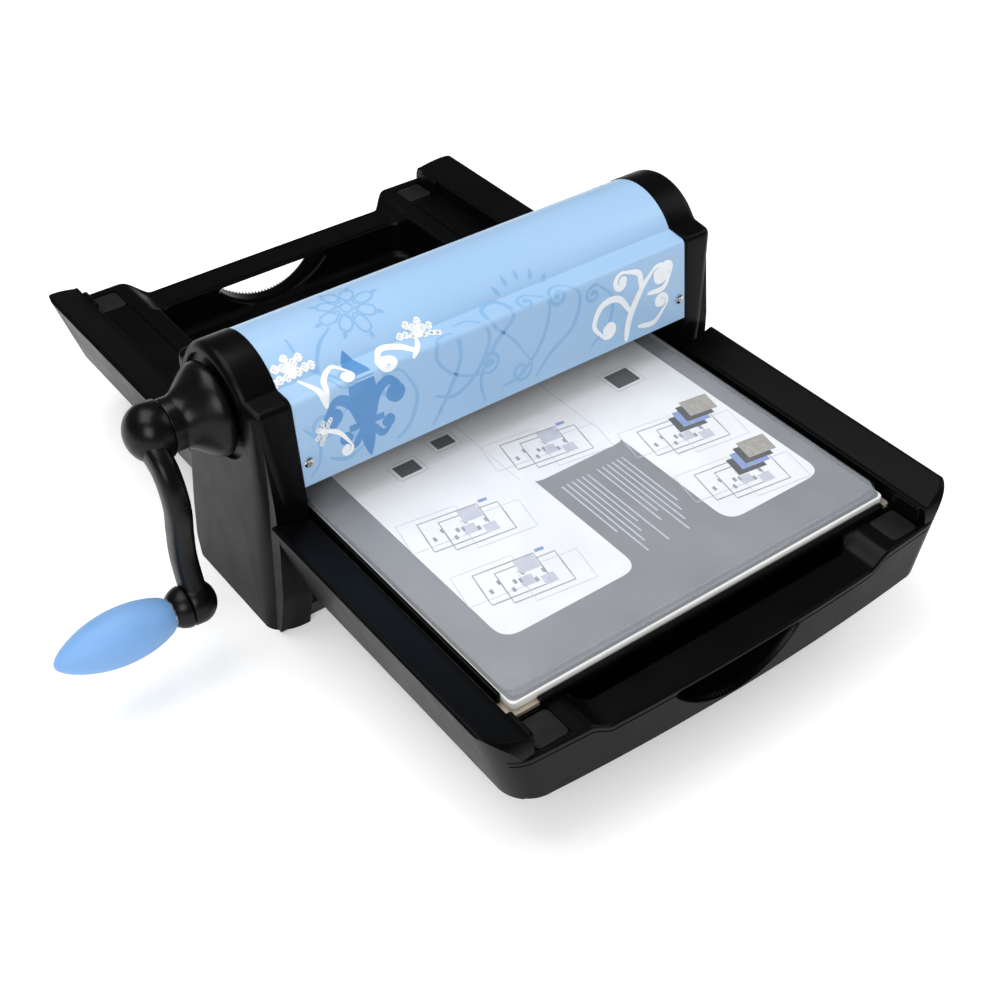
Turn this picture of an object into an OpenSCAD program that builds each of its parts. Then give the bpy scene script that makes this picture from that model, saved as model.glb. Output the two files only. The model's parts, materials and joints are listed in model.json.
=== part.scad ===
// Table-top die cutting machine: two end housings carry a pair of rollers, a crank turns them
// through a pinion, and a sliding platform of pads rolls between them over two deep trays.
// Origin: middle of the base plate's underside, straight below the rollers. X runs along the
// rollers (crank at -X), the user stands at -Y, and Z is up.

/* [Machine] */
// Clear width between the two end housings
opening_w = 344; // [340:1:350]
// Thickness of one end housing
housing_w = 28; // [28:1:30]
// Height of the crank's axis above the table
crank_z = 180; // [180:1:181]
// Radius of the half-round top of the housings and cover
top_r = 46.5; // [46:0.5:47]
// Wall of the plastic shells
wall = 2.5; // [2:0.1:2.6]

/* [Rollers and gears] */
// Radius of both rollers
roller_r = 30; // [29.8:0.05:30.05]
// Radius of the roller shafts
shaft_r = 8; // [7:0.5:8.5]
// Radius of the crank shaft
crank_shaft_r = 7; // [6:0.5:7.5]
// Radial play of a shaft in its bush
play = 0.05; // [0.02:0.01:0.08]
// Teeth on the crank pinion
pinion_teeth = 13; // [13:1:13]
// Teeth on the gear that the pinion drives
drive_teeth = 32; // [32:1:32]
// Module of the pinion and its gear
drive_module = 1.5; // [1.5:0.1:1.5]
// Teeth on each of the two gears that tie the rollers together
sync_teeth = 39; // [39:1:39]
// Module of the two roller gears
sync_module = 2; // [2:0.1:2]

/* [Crank and handle] */
// Drop of the handle below the crank's axis
crank_drop = 121; // [115:1:125]
// Distance of the handle in front of the crank's axis
crank_lead = 39; // [35:1:42]
// Length of the soft grip
grip_len = 86; // [70:1:90]
// Largest radius of the soft grip
grip_r = 20; // [16:0.5:21]

/* [Trays] */
// Half width over the outer edges of the guide rails
rail_x = 202; // [202:0.5:204]
// Height of the rails' outer edges
rail_top_z = 118.3; // [117:0.1:119]
// Height of the bed that the platform slides on
bed_z = 98.3; // [98:0.05:98.35]
// Height of the trays' undersides
tray_bottom_z = 55; // [54:0.5:58]
// How far the front tray reaches from the rollers
front_reach = 323; // [315:1:330]
// How far the rear tray reaches from the rollers
rear_reach = 306; // [300:1:312]
// Half width of the deep well in each tray
well_half_w = 124; // [110:1:126]
// Width of the hand hole in each tray
hand_hole_w = 106; // [90:1:110]

/* [Sliding platform] */
// Half width of the platform
platform_half_w = 167; // [160:0.5:168]
// Length of the platform
platform_len = 400; // [380:1:410]
// Where the platform's front edge rests
platform_front = -286; // [-290:1:-280]

/* [Hidden] */
$fn = 96;

inner_x = opening_w / 2;
outer_x = inner_x + housing_w;
cover_z = crank_z - 1;
frame_x = inner_x + 2;
frame_t = 6;
upper_z = crank_z - drive_module * (pinion_teeth + drive_teeth) / 2;
lower_z = upper_z - sync_module * sync_teeth;
roller_half = 168;
gear_x = outer_x - 16;
gear_t = 9;
pressure = 25;
recess_floor = outer_x - 3.5;
arm_x = -outer_x - 52;
handle_y = -crank_lead;
handle_z = crank_z - crank_drop;
ferrule_x = arm_x - 8;
grip_x = ferrule_x - 12;
washer_t = 0.8;
plate_t = 10;
slide_gap = 0.3;
pad_z = bed_z + slide_gap;
plate_sheet = 3;
adapter_t = 6;
insert_t = 0.6;
clear_t = 3;
tray_in = 33;
deck_t = 6;
bar_t = 30;
bar_drop = 8;
bar_lean = 12;
well_corner = 18;
notch_ease = 16;
nose = 15;
groove_x = well_half_w + 17;
side_lean = 19.5;
hand_hole_h = 26;
hand_hole_top = tray_bottom_z + 30.5;
hand_hole_x = -10;
rear_inset = 15;
rod_places = [[-28, 20], [46, 18], [-24, 203], [24, 203]];
base_places = [[-30, 6], [44, 6]];
housing_places = [[-45, 14], [62, 14], [-50, 188], [44, 186]];
cover_screw_x = 166;
cover_screw_z = 155;
tray_screw_x = [-150, 0, 150];

// A flat shape given in Y and Z, thickened from x0 to x1
module across(x0, x1) {
    translate([x0, 0, 0]) rotate([90, 0, 90]) linear_extrude(x1 - x0) children();
}

// A cylinder along X from x0 to x1 at y, z
module rod(x0, x1, r, y = 0, z = 0) {
    translate([x0, y, z]) rotate([0, 90, 0]) cylinder(h = x1 - x0, r = r);
}

// A flat shape given in X and Z, thickened from y0 to y1
module along(y0, y1) {
    translate([0, y1, 0]) rotate([90, 0, 0]) linear_extrude(y1 - y0) children();
}

// A box between two corners
module block(low, high) {
    translate(low) cube(high - low);
}

// The same on both sides of the machine's middle plane
module both_sides() {
    children();
    mirror([1, 0, 0]) children();
}

// A plate with round corners, from z to z + t
module round_plate(low, high, r, z, t) {
    w = high[0] - low[0];
    d = high[1] - low[1];
    translate([low[0], low[1], z]) linear_extrude(t) union() {
        translate([r, 0]) square([w - 2 * r, d]);
        translate([0, r]) square([w, d - 2 * r]);
        for (x = [r, w - r], y = [r, d - r]) translate([x, y]) circle(r);
    }
}

// Points of an arc, for outlines
function arc(c, r, a0, a1, n) = [for (i = [0:n]) let (a = a0 + (a1 - a0) * i / n)
    c + r * [cos(a), sin(a)]];

// ---- gears ----
function inv(a) = tan(a) * 180 / PI - a;
function tooth_half(r, n, m) = let (rb = m * n / 2 * cos(pressure))
    90 / n - 6.5 / (m * n) + inv(pressure) - inv(acos(min(1, rb / max(r, rb))));
function polar(r, a) = r * [cos(a), sin(a)];
function gear_points(n, m) = let (rp = m * n / 2,
    radii = [for (i = [0:4]) rp - 1.15 * m + (2.05 * m) * i / 4])
    [for (k = [0:n - 1]) each concat(
        [for (r = radii) polar(r, 360 * k / n - tooth_half(r, n, m))],
        [for (i = [4:-1:0]) polar(radii[i], 360 * k / n + tooth_half(radii[i], n, m))])];

// A spur gear along X with a bore, its first tooth turned to the angle given
module gear(x0, x1, y, z, n, m, bore, turn) {
    difference() {
        translate([0, y, z]) across(x0, x1) rotate(turn) polygon(gear_points(n, m));
        rod(x0 - 1, x1 + 1, bore, y, z);
    }
}

// ---- end housings ----
// Side outline of the housings and the cover, drawn in by t: a ledge in front and behind,
// and a round top between the two creases
front_ledge = 25.2;
rear_ledge = 19.6;
module side_outline(t = 0) {
    r = top_r - t;
    polygon(concat([[-50 + t, t], [-60 + t, 40], [-65.5 + t, 95], [-65 + t, 130]],
        arc([-51.3 + t * 0.7, cover_z + 20 - t * 0.7], 5.2 - t * 0.3, 172, 90, 4),
        arc([0, cover_z], r, 180 - asin((front_ledge - t) / r), asin((rear_ledge - t) / r), 36),
        arc([46.8 - t * 0.7, cover_z + 16 - t * 0.7], 3.6 - t * 0.3, 90, 5, 4),
        [[57.6 - t, 115], [69 - t, 51], [73 - t, 18], [70 - t, t]]));
}

module shell(bosses_to) {
    difference() {
        union() {
            difference() {
                across(inner_x + 2, outer_x) side_outline();
                across(inner_x + 1, outer_x - wall) side_outline(wall);
            }
            for (p = housing_places) rod(inner_x + 2, outer_x - 1, 4, p[0], p[1]);
            children();
        }
        for (p = housing_places) rod(inner_x + 1, outer_x - 8, 1.5, p[0], p[1]);
        block([frame_x - 0.3, -90, 85], [frame_x + frame_t + 0.3, 90, 107]);
    }
}

module right_housing() {
    color([0.07, 0.07, 0.08]) shell();
}

module left_housing() {
    color([0.07, 0.07, 0.08]) mirror([1, 0, 0]) difference() {
        shell() rod(outer_x - 6, outer_x - 1, 41, 0, crank_z);
        rod(recess_floor, outer_x + 1, 38.5, 0, crank_z);
        rod(outer_x - 8, outer_x, 10, 0, crank_z);
    }
}

module inner_cover() {
    difference() {
        across(inner_x, inner_x + 2) side_outline();
        for (z = [upper_z, lower_z]) rod(inner_x - 1, inner_x + 3, 15, 0, z);
        for (p = housing_places) rod(inner_x - 1, inner_x + 3, 1.5, p[0], p[1]);
        for (p = rod_places) rod(inner_x - 1, inner_x + 3, 6.2, p[0], p[1]);
        block([inner_x - 1, -45, -1], [inner_x + 3, 59, plate_t + 0.2]);
    }
}

module left_inner_cover() {
    color([0.1, 0.1, 0.11]) mirror([1, 0, 0]) inner_cover();
}

module right_inner_cover() {
    color([0.1, 0.1, 0.11]) inner_cover();
}

module housing_screws() {
    color("silver") both_sides() for (p = housing_places) {
        rod(inner_x - 1.2, inner_x, 3, p[0], p[1]);
        rod(inner_x, outer_x - 8, 1.5, p[0], p[1]);
    }
}

// ---- steel frame ----
module side_frame(shaft_holes) {
    difference() {
        union() {
            across(frame_x, frame_x + frame_t) union() {
                polygon([[-38, 2.6], [57, 2.6], [53, 84], [38, 182], [-38, 182], [-56, 120],
                    [-57, 60], [-45, 30]]);
                translate([0, cover_z]) circle(40);
            }
            block([frame_x, -front_reach + nose + 14, 87],
                [frame_x + frame_t, rear_reach - nose - 14, 105]);
        }
        for (h = shaft_holes) rod(frame_x - 1, frame_x + frame_t + 1, h[0], 0, h[1]);
        for (p = rod_places) rod(frame_x - 1, frame_x + frame_t + 1, 4, p[0], p[1]);
        for (p = base_places) rod(frame_x - 1, frame_x + frame_t + 1, 2, p[0], p[1]);
    }
}

module left_side_frame() {
    color("silver") mirror([1, 0, 0]) side_frame([[12, upper_z], [12, lower_z], [10, crank_z]]);
}

module right_side_frame() {
    color("silver") side_frame([[12, upper_z], [12, lower_z]]);
}

module base_plate() {
    color([0.12, 0.12, 0.13]) difference() {
        block([-frame_x, -44, 0], [frame_x, 58, plate_t]);
        for (x = [-150, 150], y = [-30, 44]) translate([x, y, -1]) cylinder(h = 3, r = 10);
        both_sides() for (p = base_places) rod(frame_x - 18, frame_x + 1, 2, p[0], p[1]);
    }
}

module rubber_feet() {
    color([0.05, 0.05, 0.05]) for (x = [-150, 150], y = [-30, 44])
        translate([x, y, 0]) cylinder(h = 2, r = 10);
}

module base_screws() {
    color("silver") both_sides() for (p = base_places) {
        rod(frame_x - 18, frame_x + frame_t, 2, p[0], p[1]);
        rod(frame_x + frame_t, frame_x + frame_t + 2.4, 3.4, p[0], p[1]);
    }
}

module tie_rods() {
    color("silver") for (p = rod_places) {
        rod(-frame_x, frame_x, 6, p[0], p[1]);
        rod(-frame_x - frame_t - 6, frame_x + frame_t + 6, 4, p[0], p[1]);
    }
}

module tie_rod_nuts() {
    color("silver") both_sides() for (p = rod_places) difference() {
        translate([frame_x + frame_t, p[0], p[1]]) rotate([0, 90, 0]) cylinder(h = 5, r = 7, $fn = 6);
        rod(frame_x + frame_t - 1, frame_x + frame_t + 6, 4, p[0], p[1]);
    }
}

module bush(x0, x1, r_in, r_out, r_flange, flange_x0, flange_x1, z) {
    difference() {
        union() {
            rod(x0, x1, r_out, 0, z);
            rod(flange_x0, flange_x1, r_flange, 0, z);
        }
        rod(x0 - 5, x1 + 5, r_in, 0, z);
    }
}

module roller_bushes() {
    color("goldenrod") both_sides() for (z = [upper_z, lower_z])
        bush(frame_x, frame_x + frame_t, shaft_r + play, 12, 14.5, frame_x - 1.6, frame_x, z);
}

module crank_bushes() {
    color("goldenrod") mirror([1, 0, 0]) {
        bush(frame_x, frame_x + frame_t, crank_shaft_r + play, 10, 12.5,
            frame_x + frame_t, frame_x + frame_t + 1.5, crank_z);
        bush(recess_floor - 2.5, recess_floor + 1, crank_shaft_r + play, 10, 12.5,
            recess_floor, recess_floor + 1, crank_z);
    }
}

// ---- cover ----
module top_cover() {
    color([0.6, 0.78, 0.93]) difference() {
        intersection() {
            difference() {
                across(-inner_x + 0.4, inner_x - 0.4) side_outline(0.6);
                across(-inner_x, inner_x) side_outline(2.6);
            }
            block([-inner_x, -90, 137], [inner_x, 90, 240]);
        }
        for (x = [-cover_screw_x, cover_screw_x]) translate([x, -80, cover_screw_z])
            rotate([-90, 0, 0]) cylinder(h = 160, r = 2);
    }
}

module cover_brackets() {
    color([0.12, 0.12, 0.13]) both_sides() difference() {
        union() {
            block([inner_x - 11, -58.4, cover_screw_z - 6], [inner_x, -50, cover_screw_z + 6]);
            block([inner_x - 11, 42, cover_screw_z - 6], [inner_x, 50.4, cover_screw_z + 6]);
        }
        translate([cover_screw_x, -80, cover_screw_z]) rotate([-90, 0, 0])
            cylinder(h = 160, r = 2);
    }
}

// Pan head screw along Y: the head's seat is at y, and dir tells which way the shank runs
module pan_screw(x, y, z, dir, r_shank, r_head, len, head) {
    translate([x, y, z]) rotate([dir * -90, 0, 0]) union() {
        cylinder(h = len, r = r_shank);
        translate([0, 0, -head]) cylinder(h = head, r = r_head);
    }
}

module cover_screws() {
    color("silver") for (x = [-cover_screw_x, cover_screw_x]) {
        pan_screw(x, -61.7, cover_screw_z, 1, 2, 3.8, 11, 2);
        pan_screw(x, 53.9, cover_screw_z, -1, 2, 3.8, 12, 2);
    }
}

// ---- trays ----
// Cross section of a tray over its rails, from the bed down to the narrower underside
module tray_section(half_top, z_top) {
    lean = side_lean * (z_top - tray_bottom_z) / (rail_top_z - tray_bottom_z);
    polygon([[-half_top + side_lean - lean, z_top], [half_top - side_lean + lean, z_top],
        [half_top - side_lean, tray_bottom_z], [-half_top + side_lean, tray_bottom_z]]);
}

// Plan of a tray's outer end, with round corners and a slight bow
module end_plan(reach, bow) {
    corner = 24;
    side_y = -reach + bow;
    in_x = rail_x - corner;
    translate([0, 0, tray_bottom_z]) linear_extrude(80) polygon(concat(
        [for (i = [-12:12]) let (x = in_x * i / 12) [x, -reach + bow * (x / in_x) * (x / in_x)]],
        arc([in_x, side_y + corner], corner, -80, 0, 8), [[rail_x, 0], [-rail_x, 0]],
        arc([-in_x, side_y + corner], corner, 180, 260, 8)));
}

// The D-shaped hand hole: flat on top and round below, cut through a bar along Y
module hand_hole() {
    r = (pow(hand_hole_w / 2, 2) + pow(hand_hole_h, 2)) / (2 * hand_hole_h);
    intersection() {
        translate([hand_hole_x, -400, hand_hole_top - hand_hole_h + r]) rotate([-90, 0, 0])
            cylinder(h = 800, r = r, $fn = 180);
        block([-200, -400, tray_bottom_z], [200, 400, hand_hole_top]);
    }
}

// Where the bar drops below the shelves: its sides fall in an S from the shelves' height
module bar_notch() {
    fall = [for (i = [0:8]) let (t = i / 8)
        [well_half_w + notch_ease * (1 - t) - 4, bed_z - bar_drop * t * t * (3 - 2 * t)]];
    polygon(concat([[well_half_w + notch_ease - 4, bed_z + 5]], fall,
        [for (i = [8:-1:0]) [-fall[i][0], fall[i][1]]], [[-well_half_w - notch_ease + 4, bed_z + 5]]));
}

// One tray, drawn for the front side; reach is to its outer end. Inset sets its bar back, and a
// bar that is set back leans in towards its foot
module tray(reach, inset, bow) {
    bar_out = reach - inset;
    difference() {
        union() {
            block([-inner_x + 1, -reach + 13, tray_bottom_z], [inner_x - 1, -tray_in - 42, bed_z]);
            block([-inner_x + 1, -tray_in - 43, bed_z - deck_t], [inner_x - 1, -tray_in, bed_z]);
            intersection() {
                along(-reach - 2, -reach + 13) tray_section(rail_x, bed_z);
                end_plan(reach, bow);
            }
        }
        round_plate([-well_half_w, -bar_out + bar_t], [well_half_w, -tray_in - 45], well_corner,
            tray_bottom_z + 3, 60);
        along(-reach - 5, -bar_out + bar_t + well_corner) bar_notch();
        if (inset > 0) across(-well_half_w, well_half_w)
            polygon([[-reach - 5, bed_z + 5], [-bar_out, bed_z + 5], [-bar_out, bed_z - bar_drop],
                [-bar_out + bar_lean, tray_bottom_z], [-bar_out + bar_lean, tray_bottom_z - 1],
                [-reach - 5, tray_bottom_z - 1]]);
        both_sides() {
            block([well_half_w + 3, -reach + 16, tray_bottom_z - 1],
                [inner_x - 4, -tray_in - 46, bed_z - 4.5]);
            block([well_half_w + 17, -reach + 9, bed_z - 1.8],
                [inner_x - 3, -reach + 35, bed_z + 1]);
            block([groove_x, -reach + 40, bed_z - 1], [groove_x + 1.2, -tray_in + 1, bed_z + 1]);
        }
        hand_hole();
        for (x = tray_screw_x) translate([x, -tray_in - 52, 0]) cylinder(h = 80, r = 1.6);
    }
    for (s = [-1, 1]) translate([s * 150, -tray_in - 52, tray_bottom_z]) difference() {
        cylinder(h = bed_z - tray_bottom_z - 4, r = 5);
        translate([0, 0, -1]) cylinder(h = 26, r = 1.6);
    }
}

module front_tray() {
    color([0.08, 0.08, 0.09]) tray(front_reach, 0, 7);
}

module rear_tray() {
    color([0.08, 0.08, 0.09]) mirror([0, 1, 0]) tray(rear_reach, rear_inset, 1);
}

// The thin plate that closes a tray from below
module bottom_plate(reach) {
    difference() {
        block([-inner_x + 6, -reach + 16, tray_bottom_z - 2], [inner_x - 6, -tray_in - 46, tray_bottom_z]);
        for (x = tray_screw_x) translate([x, -tray_in - 52, 0]) cylinder(h = 80, r = 1.6);
    }
}

module front_bottom_plate() {
    color([0.05, 0.05, 0.06]) bottom_plate(front_reach);
}

module rear_bottom_plate() {
    color([0.05, 0.05, 0.06]) mirror([0, 1, 0]) bottom_plate(rear_reach - bar_lean);
}

module tray_screws() {
    color("silver") for (x = tray_screw_x, s = [-1, 1])
        translate([x, s * (tray_in + 52), tray_bottom_z - 4]) {
            cylinder(h = 2, r = 3.2);
            cylinder(h = x == 0 ? 5 : 7, r = 1.6);
        }
}

// Hollow guide rail: its top slopes in to the bed, and its outer wall leans in towards the underside
module rail_section(t) {
    polygon([[inner_x - 0.8 + t, 110 - t * 0.7], [inner_x + 2 + t * 0.4, 110.5 - t],
        [198 - t * 0.3, rail_top_z - t], [200.4 - t, rail_top_z - t], [rail_x - t, rail_top_z - 1.6 - t],
        [rail_x - side_lean - t, tray_bottom_z + t], [inner_x - 0.8 + t, tray_bottom_z + t]]);
}

// Side view of a rail on the front side: its near edge follows the housing down to a round lower
// corner, and its far end is a round nose
module rail_side(near_top, near_low, far) {
    polygon(concat(arc([-near_low - 20, tray_bottom_z + 20], 20, 0, -90, 8),
        [[-far, tray_bottom_z - 1], [-far, bed_z]],
        arc([-far + 12, rail_top_z - 12], 12, 180, 90, 6), [[-near_top, rail_top_z + 1]]));
}

module rail(near_top, near_low, far) {
    intersection() {
        difference() {
            along(-far - 1, -near_top + 1) rail_section(0);
            along(-far + nose, -near_top + 5) rail_section(wall);
        }
        across(inner_x - 2, rail_x + 1) rail_side(near_top, near_low, far);
    }
}

module front_left_rail() {
    color([0.08, 0.08, 0.09]) mirror([1, 0, 0]) rail(66, 66, front_reach - 13);
}

module front_right_rail() {
    color([0.08, 0.08, 0.09]) rail(66, 66, front_reach - 13);
}

module rear_left_rail() {
    color([0.08, 0.08, 0.09]) rotate(180) rail(58.2, 65.6, rear_reach - 13);
}

module rear_right_rail() {
    color([0.08, 0.08, 0.09]) mirror([0, 1, 0]) rail(58.2, 65.6, rear_reach - 13);
}

// A raised tab with a rounded outline beside a rail's far end
module round_tab(y) {
    across(inner_x - 4.2, inner_x - 1) union() {
        translate([y, bed_z]) square([24, 9]);
        translate([y + 3, bed_z]) square([18, 12]);
        for (d = [3, 21]) translate([y + d, bed_z + 9]) circle(3);
    }
}

module rail_end_tabs() {
    color([0.06, 0.06, 0.07]) both_sides() for (y = [-front_reach + 13, rear_reach - 37])
        round_tab(y);
}

module corner_pads() {
    color([0.04, 0.04, 0.045]) both_sides() for (y = [-front_reach + 10, rear_reach - 34])
        round_plate([well_half_w + 18, y], [inner_x - 5, y + 24], 4, bed_z - 1.8, 1.2);
}

// ---- rollers ----
module roller(z) {
    difference() {
        rod(-roller_half, roller_half, roller_r, 0, z);
        rod(-roller_half - 1, roller_half + 1, shaft_r, 0, z);
    }
}

module upper_roller() {
    color([0.55, 0.56, 0.58]) roller(upper_z);
}

module lower_roller() {
    color([0.55, 0.56, 0.58]) roller(lower_z);
}

module upper_roller_shaft() {
    color("silver") rod(-gear_x - gear_t - 1, gear_x + gear_t + 1, shaft_r, 0, upper_z);
}

module lower_roller_shaft() {
    color("silver") rod(-frame_x - frame_t - 3, gear_x + gear_t + 1, shaft_r, 0, lower_z);
}

module roller_drive_gear() {
    color([0.4, 0.4, 0.42]) gear(-gear_x - gear_t, -gear_x, 0, upper_z, drive_teeth, drive_module,
        shaft_r, 90 + 180 / drive_teeth);
}

module upper_sync_gear() {
    color([0.4, 0.4, 0.42]) gear(gear_x, gear_x + gear_t, 0, upper_z, sync_teeth, sync_module,
        shaft_r, -90 + 180 / sync_teeth);
}

module lower_sync_gear() {
    color([0.4, 0.4, 0.42]) gear(gear_x, gear_x + gear_t, 0, lower_z, sync_teeth, sync_module,
        shaft_r, 90);
}

// Retaining washers that hold the upper roller's two gears on their shaft
module gear_keys() {
    color("silver") both_sides() difference() {
        rod(gear_x - 2.4, gear_x, 11, 0, upper_z);
        rod(gear_x - 3, gear_x + 1, shaft_r, 0, upper_z);
    }
}

// ---- crank ----
module crank_shaft() {
    color("silver") rod(arm_x - 6, -frame_x, crank_shaft_r, 0, crank_z);
}

module crank_pinion() {
    color([0.4, 0.4, 0.42]) gear(-gear_x - gear_t, -gear_x, 0, crank_z, pinion_teeth, drive_module,
        crank_shaft_r, -90);
}

// Bell: wide at the housing, then an S-shaped flare down to a neck
function flare(t) = 19 + 15 * (1 - t * t * (3 - 2 * t));
module crank_hub() {
    x0 = outer_x - 0.5;
    x1 = outer_x + 38;
    points = concat([[crank_shaft_r, x0], [31, x0]], arc([31, x0 + 3], 3, -60, 0, 4),
        [for (i = [0:14]) [flare(i / 14), x0 + 5 + 26 * i / 14]], [[19, x1], [crank_shaft_r, x1]]);
    color([0.06, 0.06, 0.07]) difference() {
        translate([0, 0, crank_z]) rotate([0, -90, 0]) rotate_extrude() polygon(points);
        translate([-outer_x - 32, crank_shaft_r - 1, crank_z]) rotate([-90, 0, 0])
            cylinder(h = 30, r = 2.5);
    }
}

// Middle line of the arm, in Y and Z, as a smooth curve through a few hand-placed points
arm_line = [[6, 200], [0, crank_z], [-24, 166], [-34, 142], [-31, 116], [-30, 92],
    [handle_y, handle_z], [-46, 40]];
function spline(p, t) = 0.5 * ((2 * p[1]) + (p[2] - p[0]) * t
    + (2 * p[0] - 5 * p[1] + 4 * p[2] - p[3]) * t * t
    + (3 * p[1] - p[0] - 3 * p[2] + p[3]) * t * t * t);
function arm_at(i) = let (k = min(floor(i), 4)) spline([for (j = [0:3]) arm_line[k + j]], i - k);
function arm_side(i, s) = let (d = arm_at(min(i + 0.02, 5)) - arm_at(max(i - 0.02, 0)),
    w = 11.5 - 2 * sin(36 * i)) arm_at(i) + s * w * [d[1], -d[0]] / norm(d);

// A round knob on the arm, turned about X: flat at x, then an egg-shaped end of radius r
module knob(x, y, z, r_flat, r, depth, to_left) {
    translate([x, y, z]) rotate([0, to_left ? -90 : 90, 0]) rotate_extrude()
        polygon(concat([[0, 0], [r_flat, 0]],
            [for (a = [0:9:90]) [r * cos(a), depth * (0.35 + 0.65 * sin(a))]]));
}

module crank_arm() {
    color([0.06, 0.06, 0.07]) difference() {
        union() {
            across(arm_x - 8, arm_x + 8)
                polygon([for (i = [0:0.2:5]) arm_side(i, 1), for (i = [5:-0.2:0]) arm_side(i, -1)]);
            knob(-outer_x - 38, 0, crank_z, 19, 21, 28, true);
            knob(ferrule_x, handle_y, handle_z, 15.5, 16, 22, false);
        }
        rod(arm_x - 6, -outer_x, crank_shaft_r, 0, crank_z);
        rod(arm_x - 30, arm_x + 6, 4, handle_y, handle_z);
    }
}

// Locks the hub to the crank shaft from behind
module crank_grub_screw() {
    color("silver") translate([-outer_x - 32, crank_shaft_r, crank_z]) rotate([-90, 0, 0])
        cylinder(h = 11, r = 2.5);
}

module handle_spindle() {
    color("silver") rod(grip_x - grip_len + 8, arm_x + 6, 4, handle_y, handle_z);
}

// Black end of the handle, half a ball next to the arm that narrows to the grip
module handle_ferrule() {
    points = concat([[4 + play, 0.4]], arc([0, 0.4], 15.5, 0, 42, 8),
        [[10.5, 12 - washer_t], [4 + play, 12 - washer_t]]);
    color([0.06, 0.06, 0.07]) translate([ferrule_x, handle_y, handle_z]) rotate([0, -90, 0])
        rotate_extrude() polygon(points);
}

// Torpedo-shaped soft grip, closed by a round end
function grip_at(t) = (11 + (grip_r - 11) * pow(sin(180 * pow(t, 0.8)), 0.9)) * sqrt(1 - pow(t, 6));
module handle_grip() {
    points = concat([[4 + play, 0]],
        [for (i = [0:30]) let (t = sin(3 * i)) [max(grip_at(t), 0), (grip_len - 0.2) * t]],
        [[0, grip_len - 7], [4 + play, grip_len - 7]]);
    color([0.48, 0.67, 0.86]) translate([grip_x, handle_y, handle_z]) rotate([0, -90, 0])
        rotate_extrude() polygon(points);
}

// Thin washer between the ferrule and the grip
module handle_washer() {
    color("silver") difference() {
        rod(grip_x, grip_x + washer_t, 10, handle_y, handle_z);
        rod(grip_x - 1, grip_x + washer_t + 1, 4 + play, handle_y, handle_z);
    }
}

// ---- sliding platform and pads ----
module platform_plate() {
    color([0.8, 0.76, 0.7]) round_plate([-platform_half_w, platform_front],
        [platform_half_w, platform_front + platform_len], 3, pad_z, plate_sheet);
}

module platform_side_lips() {
    color([0.05, 0.05, 0.055]) both_sides()
        block([platform_half_w - 3, platform_front + 14, pad_z + plate_sheet],
            [platform_half_w, platform_front + platform_len - 14, pad_z + plate_sheet + 8]);
}

// A folded strip over the front end of the plate: a face down its edge and a low rib on top
module end_lip() {
    left = -platform_half_w + 22;
    right = platform_half_w - 8;
    top_z = pad_z + plate_sheet + 2.5;
    block([left, platform_front - 1.5, pad_z], [right, platform_front, top_z]);
    block([left, platform_front, pad_z + plate_sheet], [right, platform_front + 3, top_z]);
}

module platform_end_lips() {
    color([0.05, 0.05, 0.055]) union() {
        end_lip();
        translate([0, 2 * platform_front + platform_len, 0]) mirror([0, 1, 0]) end_lip();
    }
}

module adapter_pad() {
    color([0.9, 0.92, 0.93]) round_plate([-platform_half_w + 3.5, platform_front + 3.5],
        [platform_half_w - 3.5, platform_front + platform_len - 3.5], 3,
        pad_z + plate_sheet, adapter_t);
}

module printed_insert() {
    color([0.7, 0.72, 0.74]) round_plate([-platform_half_w + 4.5, platform_front + 5],
        [platform_half_w - 4.5, platform_front + platform_len - 5], 5,
        pad_z + plate_sheet + adapter_t, insert_t);
}

module clear_pad(n, shift) {
    color([0.85, 0.9, 0.93, 0.5]) translate(shift)
        round_plate([-platform_half_w + 5, platform_front + 6.5],
            [platform_half_w - 5, platform_front + platform_len - 8], 8,
            pad_z + plate_sheet + adapter_t + insert_t + n * clear_t, clear_t);
}

module lower_cutting_pad() {
    clear_pad(0, [0, 0, 0]);
}

module upper_cutting_pad() {
    clear_pad(1, [-1.2, 2.5, 0]);
}

base_plate();
rubber_feet();
base_screws();
left_side_frame();
right_side_frame();
tie_rods();
tie_rod_nuts();
left_housing();
right_housing();
left_inner_cover();
right_inner_cover();
housing_screws();
roller_bushes();
crank_bushes();
cover_brackets();
top_cover();
cover_screws();
front_tray();
rear_tray();
front_bottom_plate();
rear_bottom_plate();
tray_screws();
front_left_rail();
front_right_rail();
rear_left_rail();
rear_right_rail();
rail_end_tabs();
corner_pads();
upper_roller();
upper_roller_shaft();
roller_drive_gear();
upper_sync_gear();
lower_roller();
lower_roller_shaft();
lower_sync_gear();
gear_keys();
crank_shaft();
crank_pinion();
crank_hub();
crank_arm();
crank_grub_screw();
handle_spindle();
handle_ferrule();
handle_grip();
handle_washer();
platform_plate();
platform_side_lips();
platform_end_lips();
adapter_pad();
printed_insert();
lower_cutting_pad();
upper_cutting_pad();
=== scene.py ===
import json
import math

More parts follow.
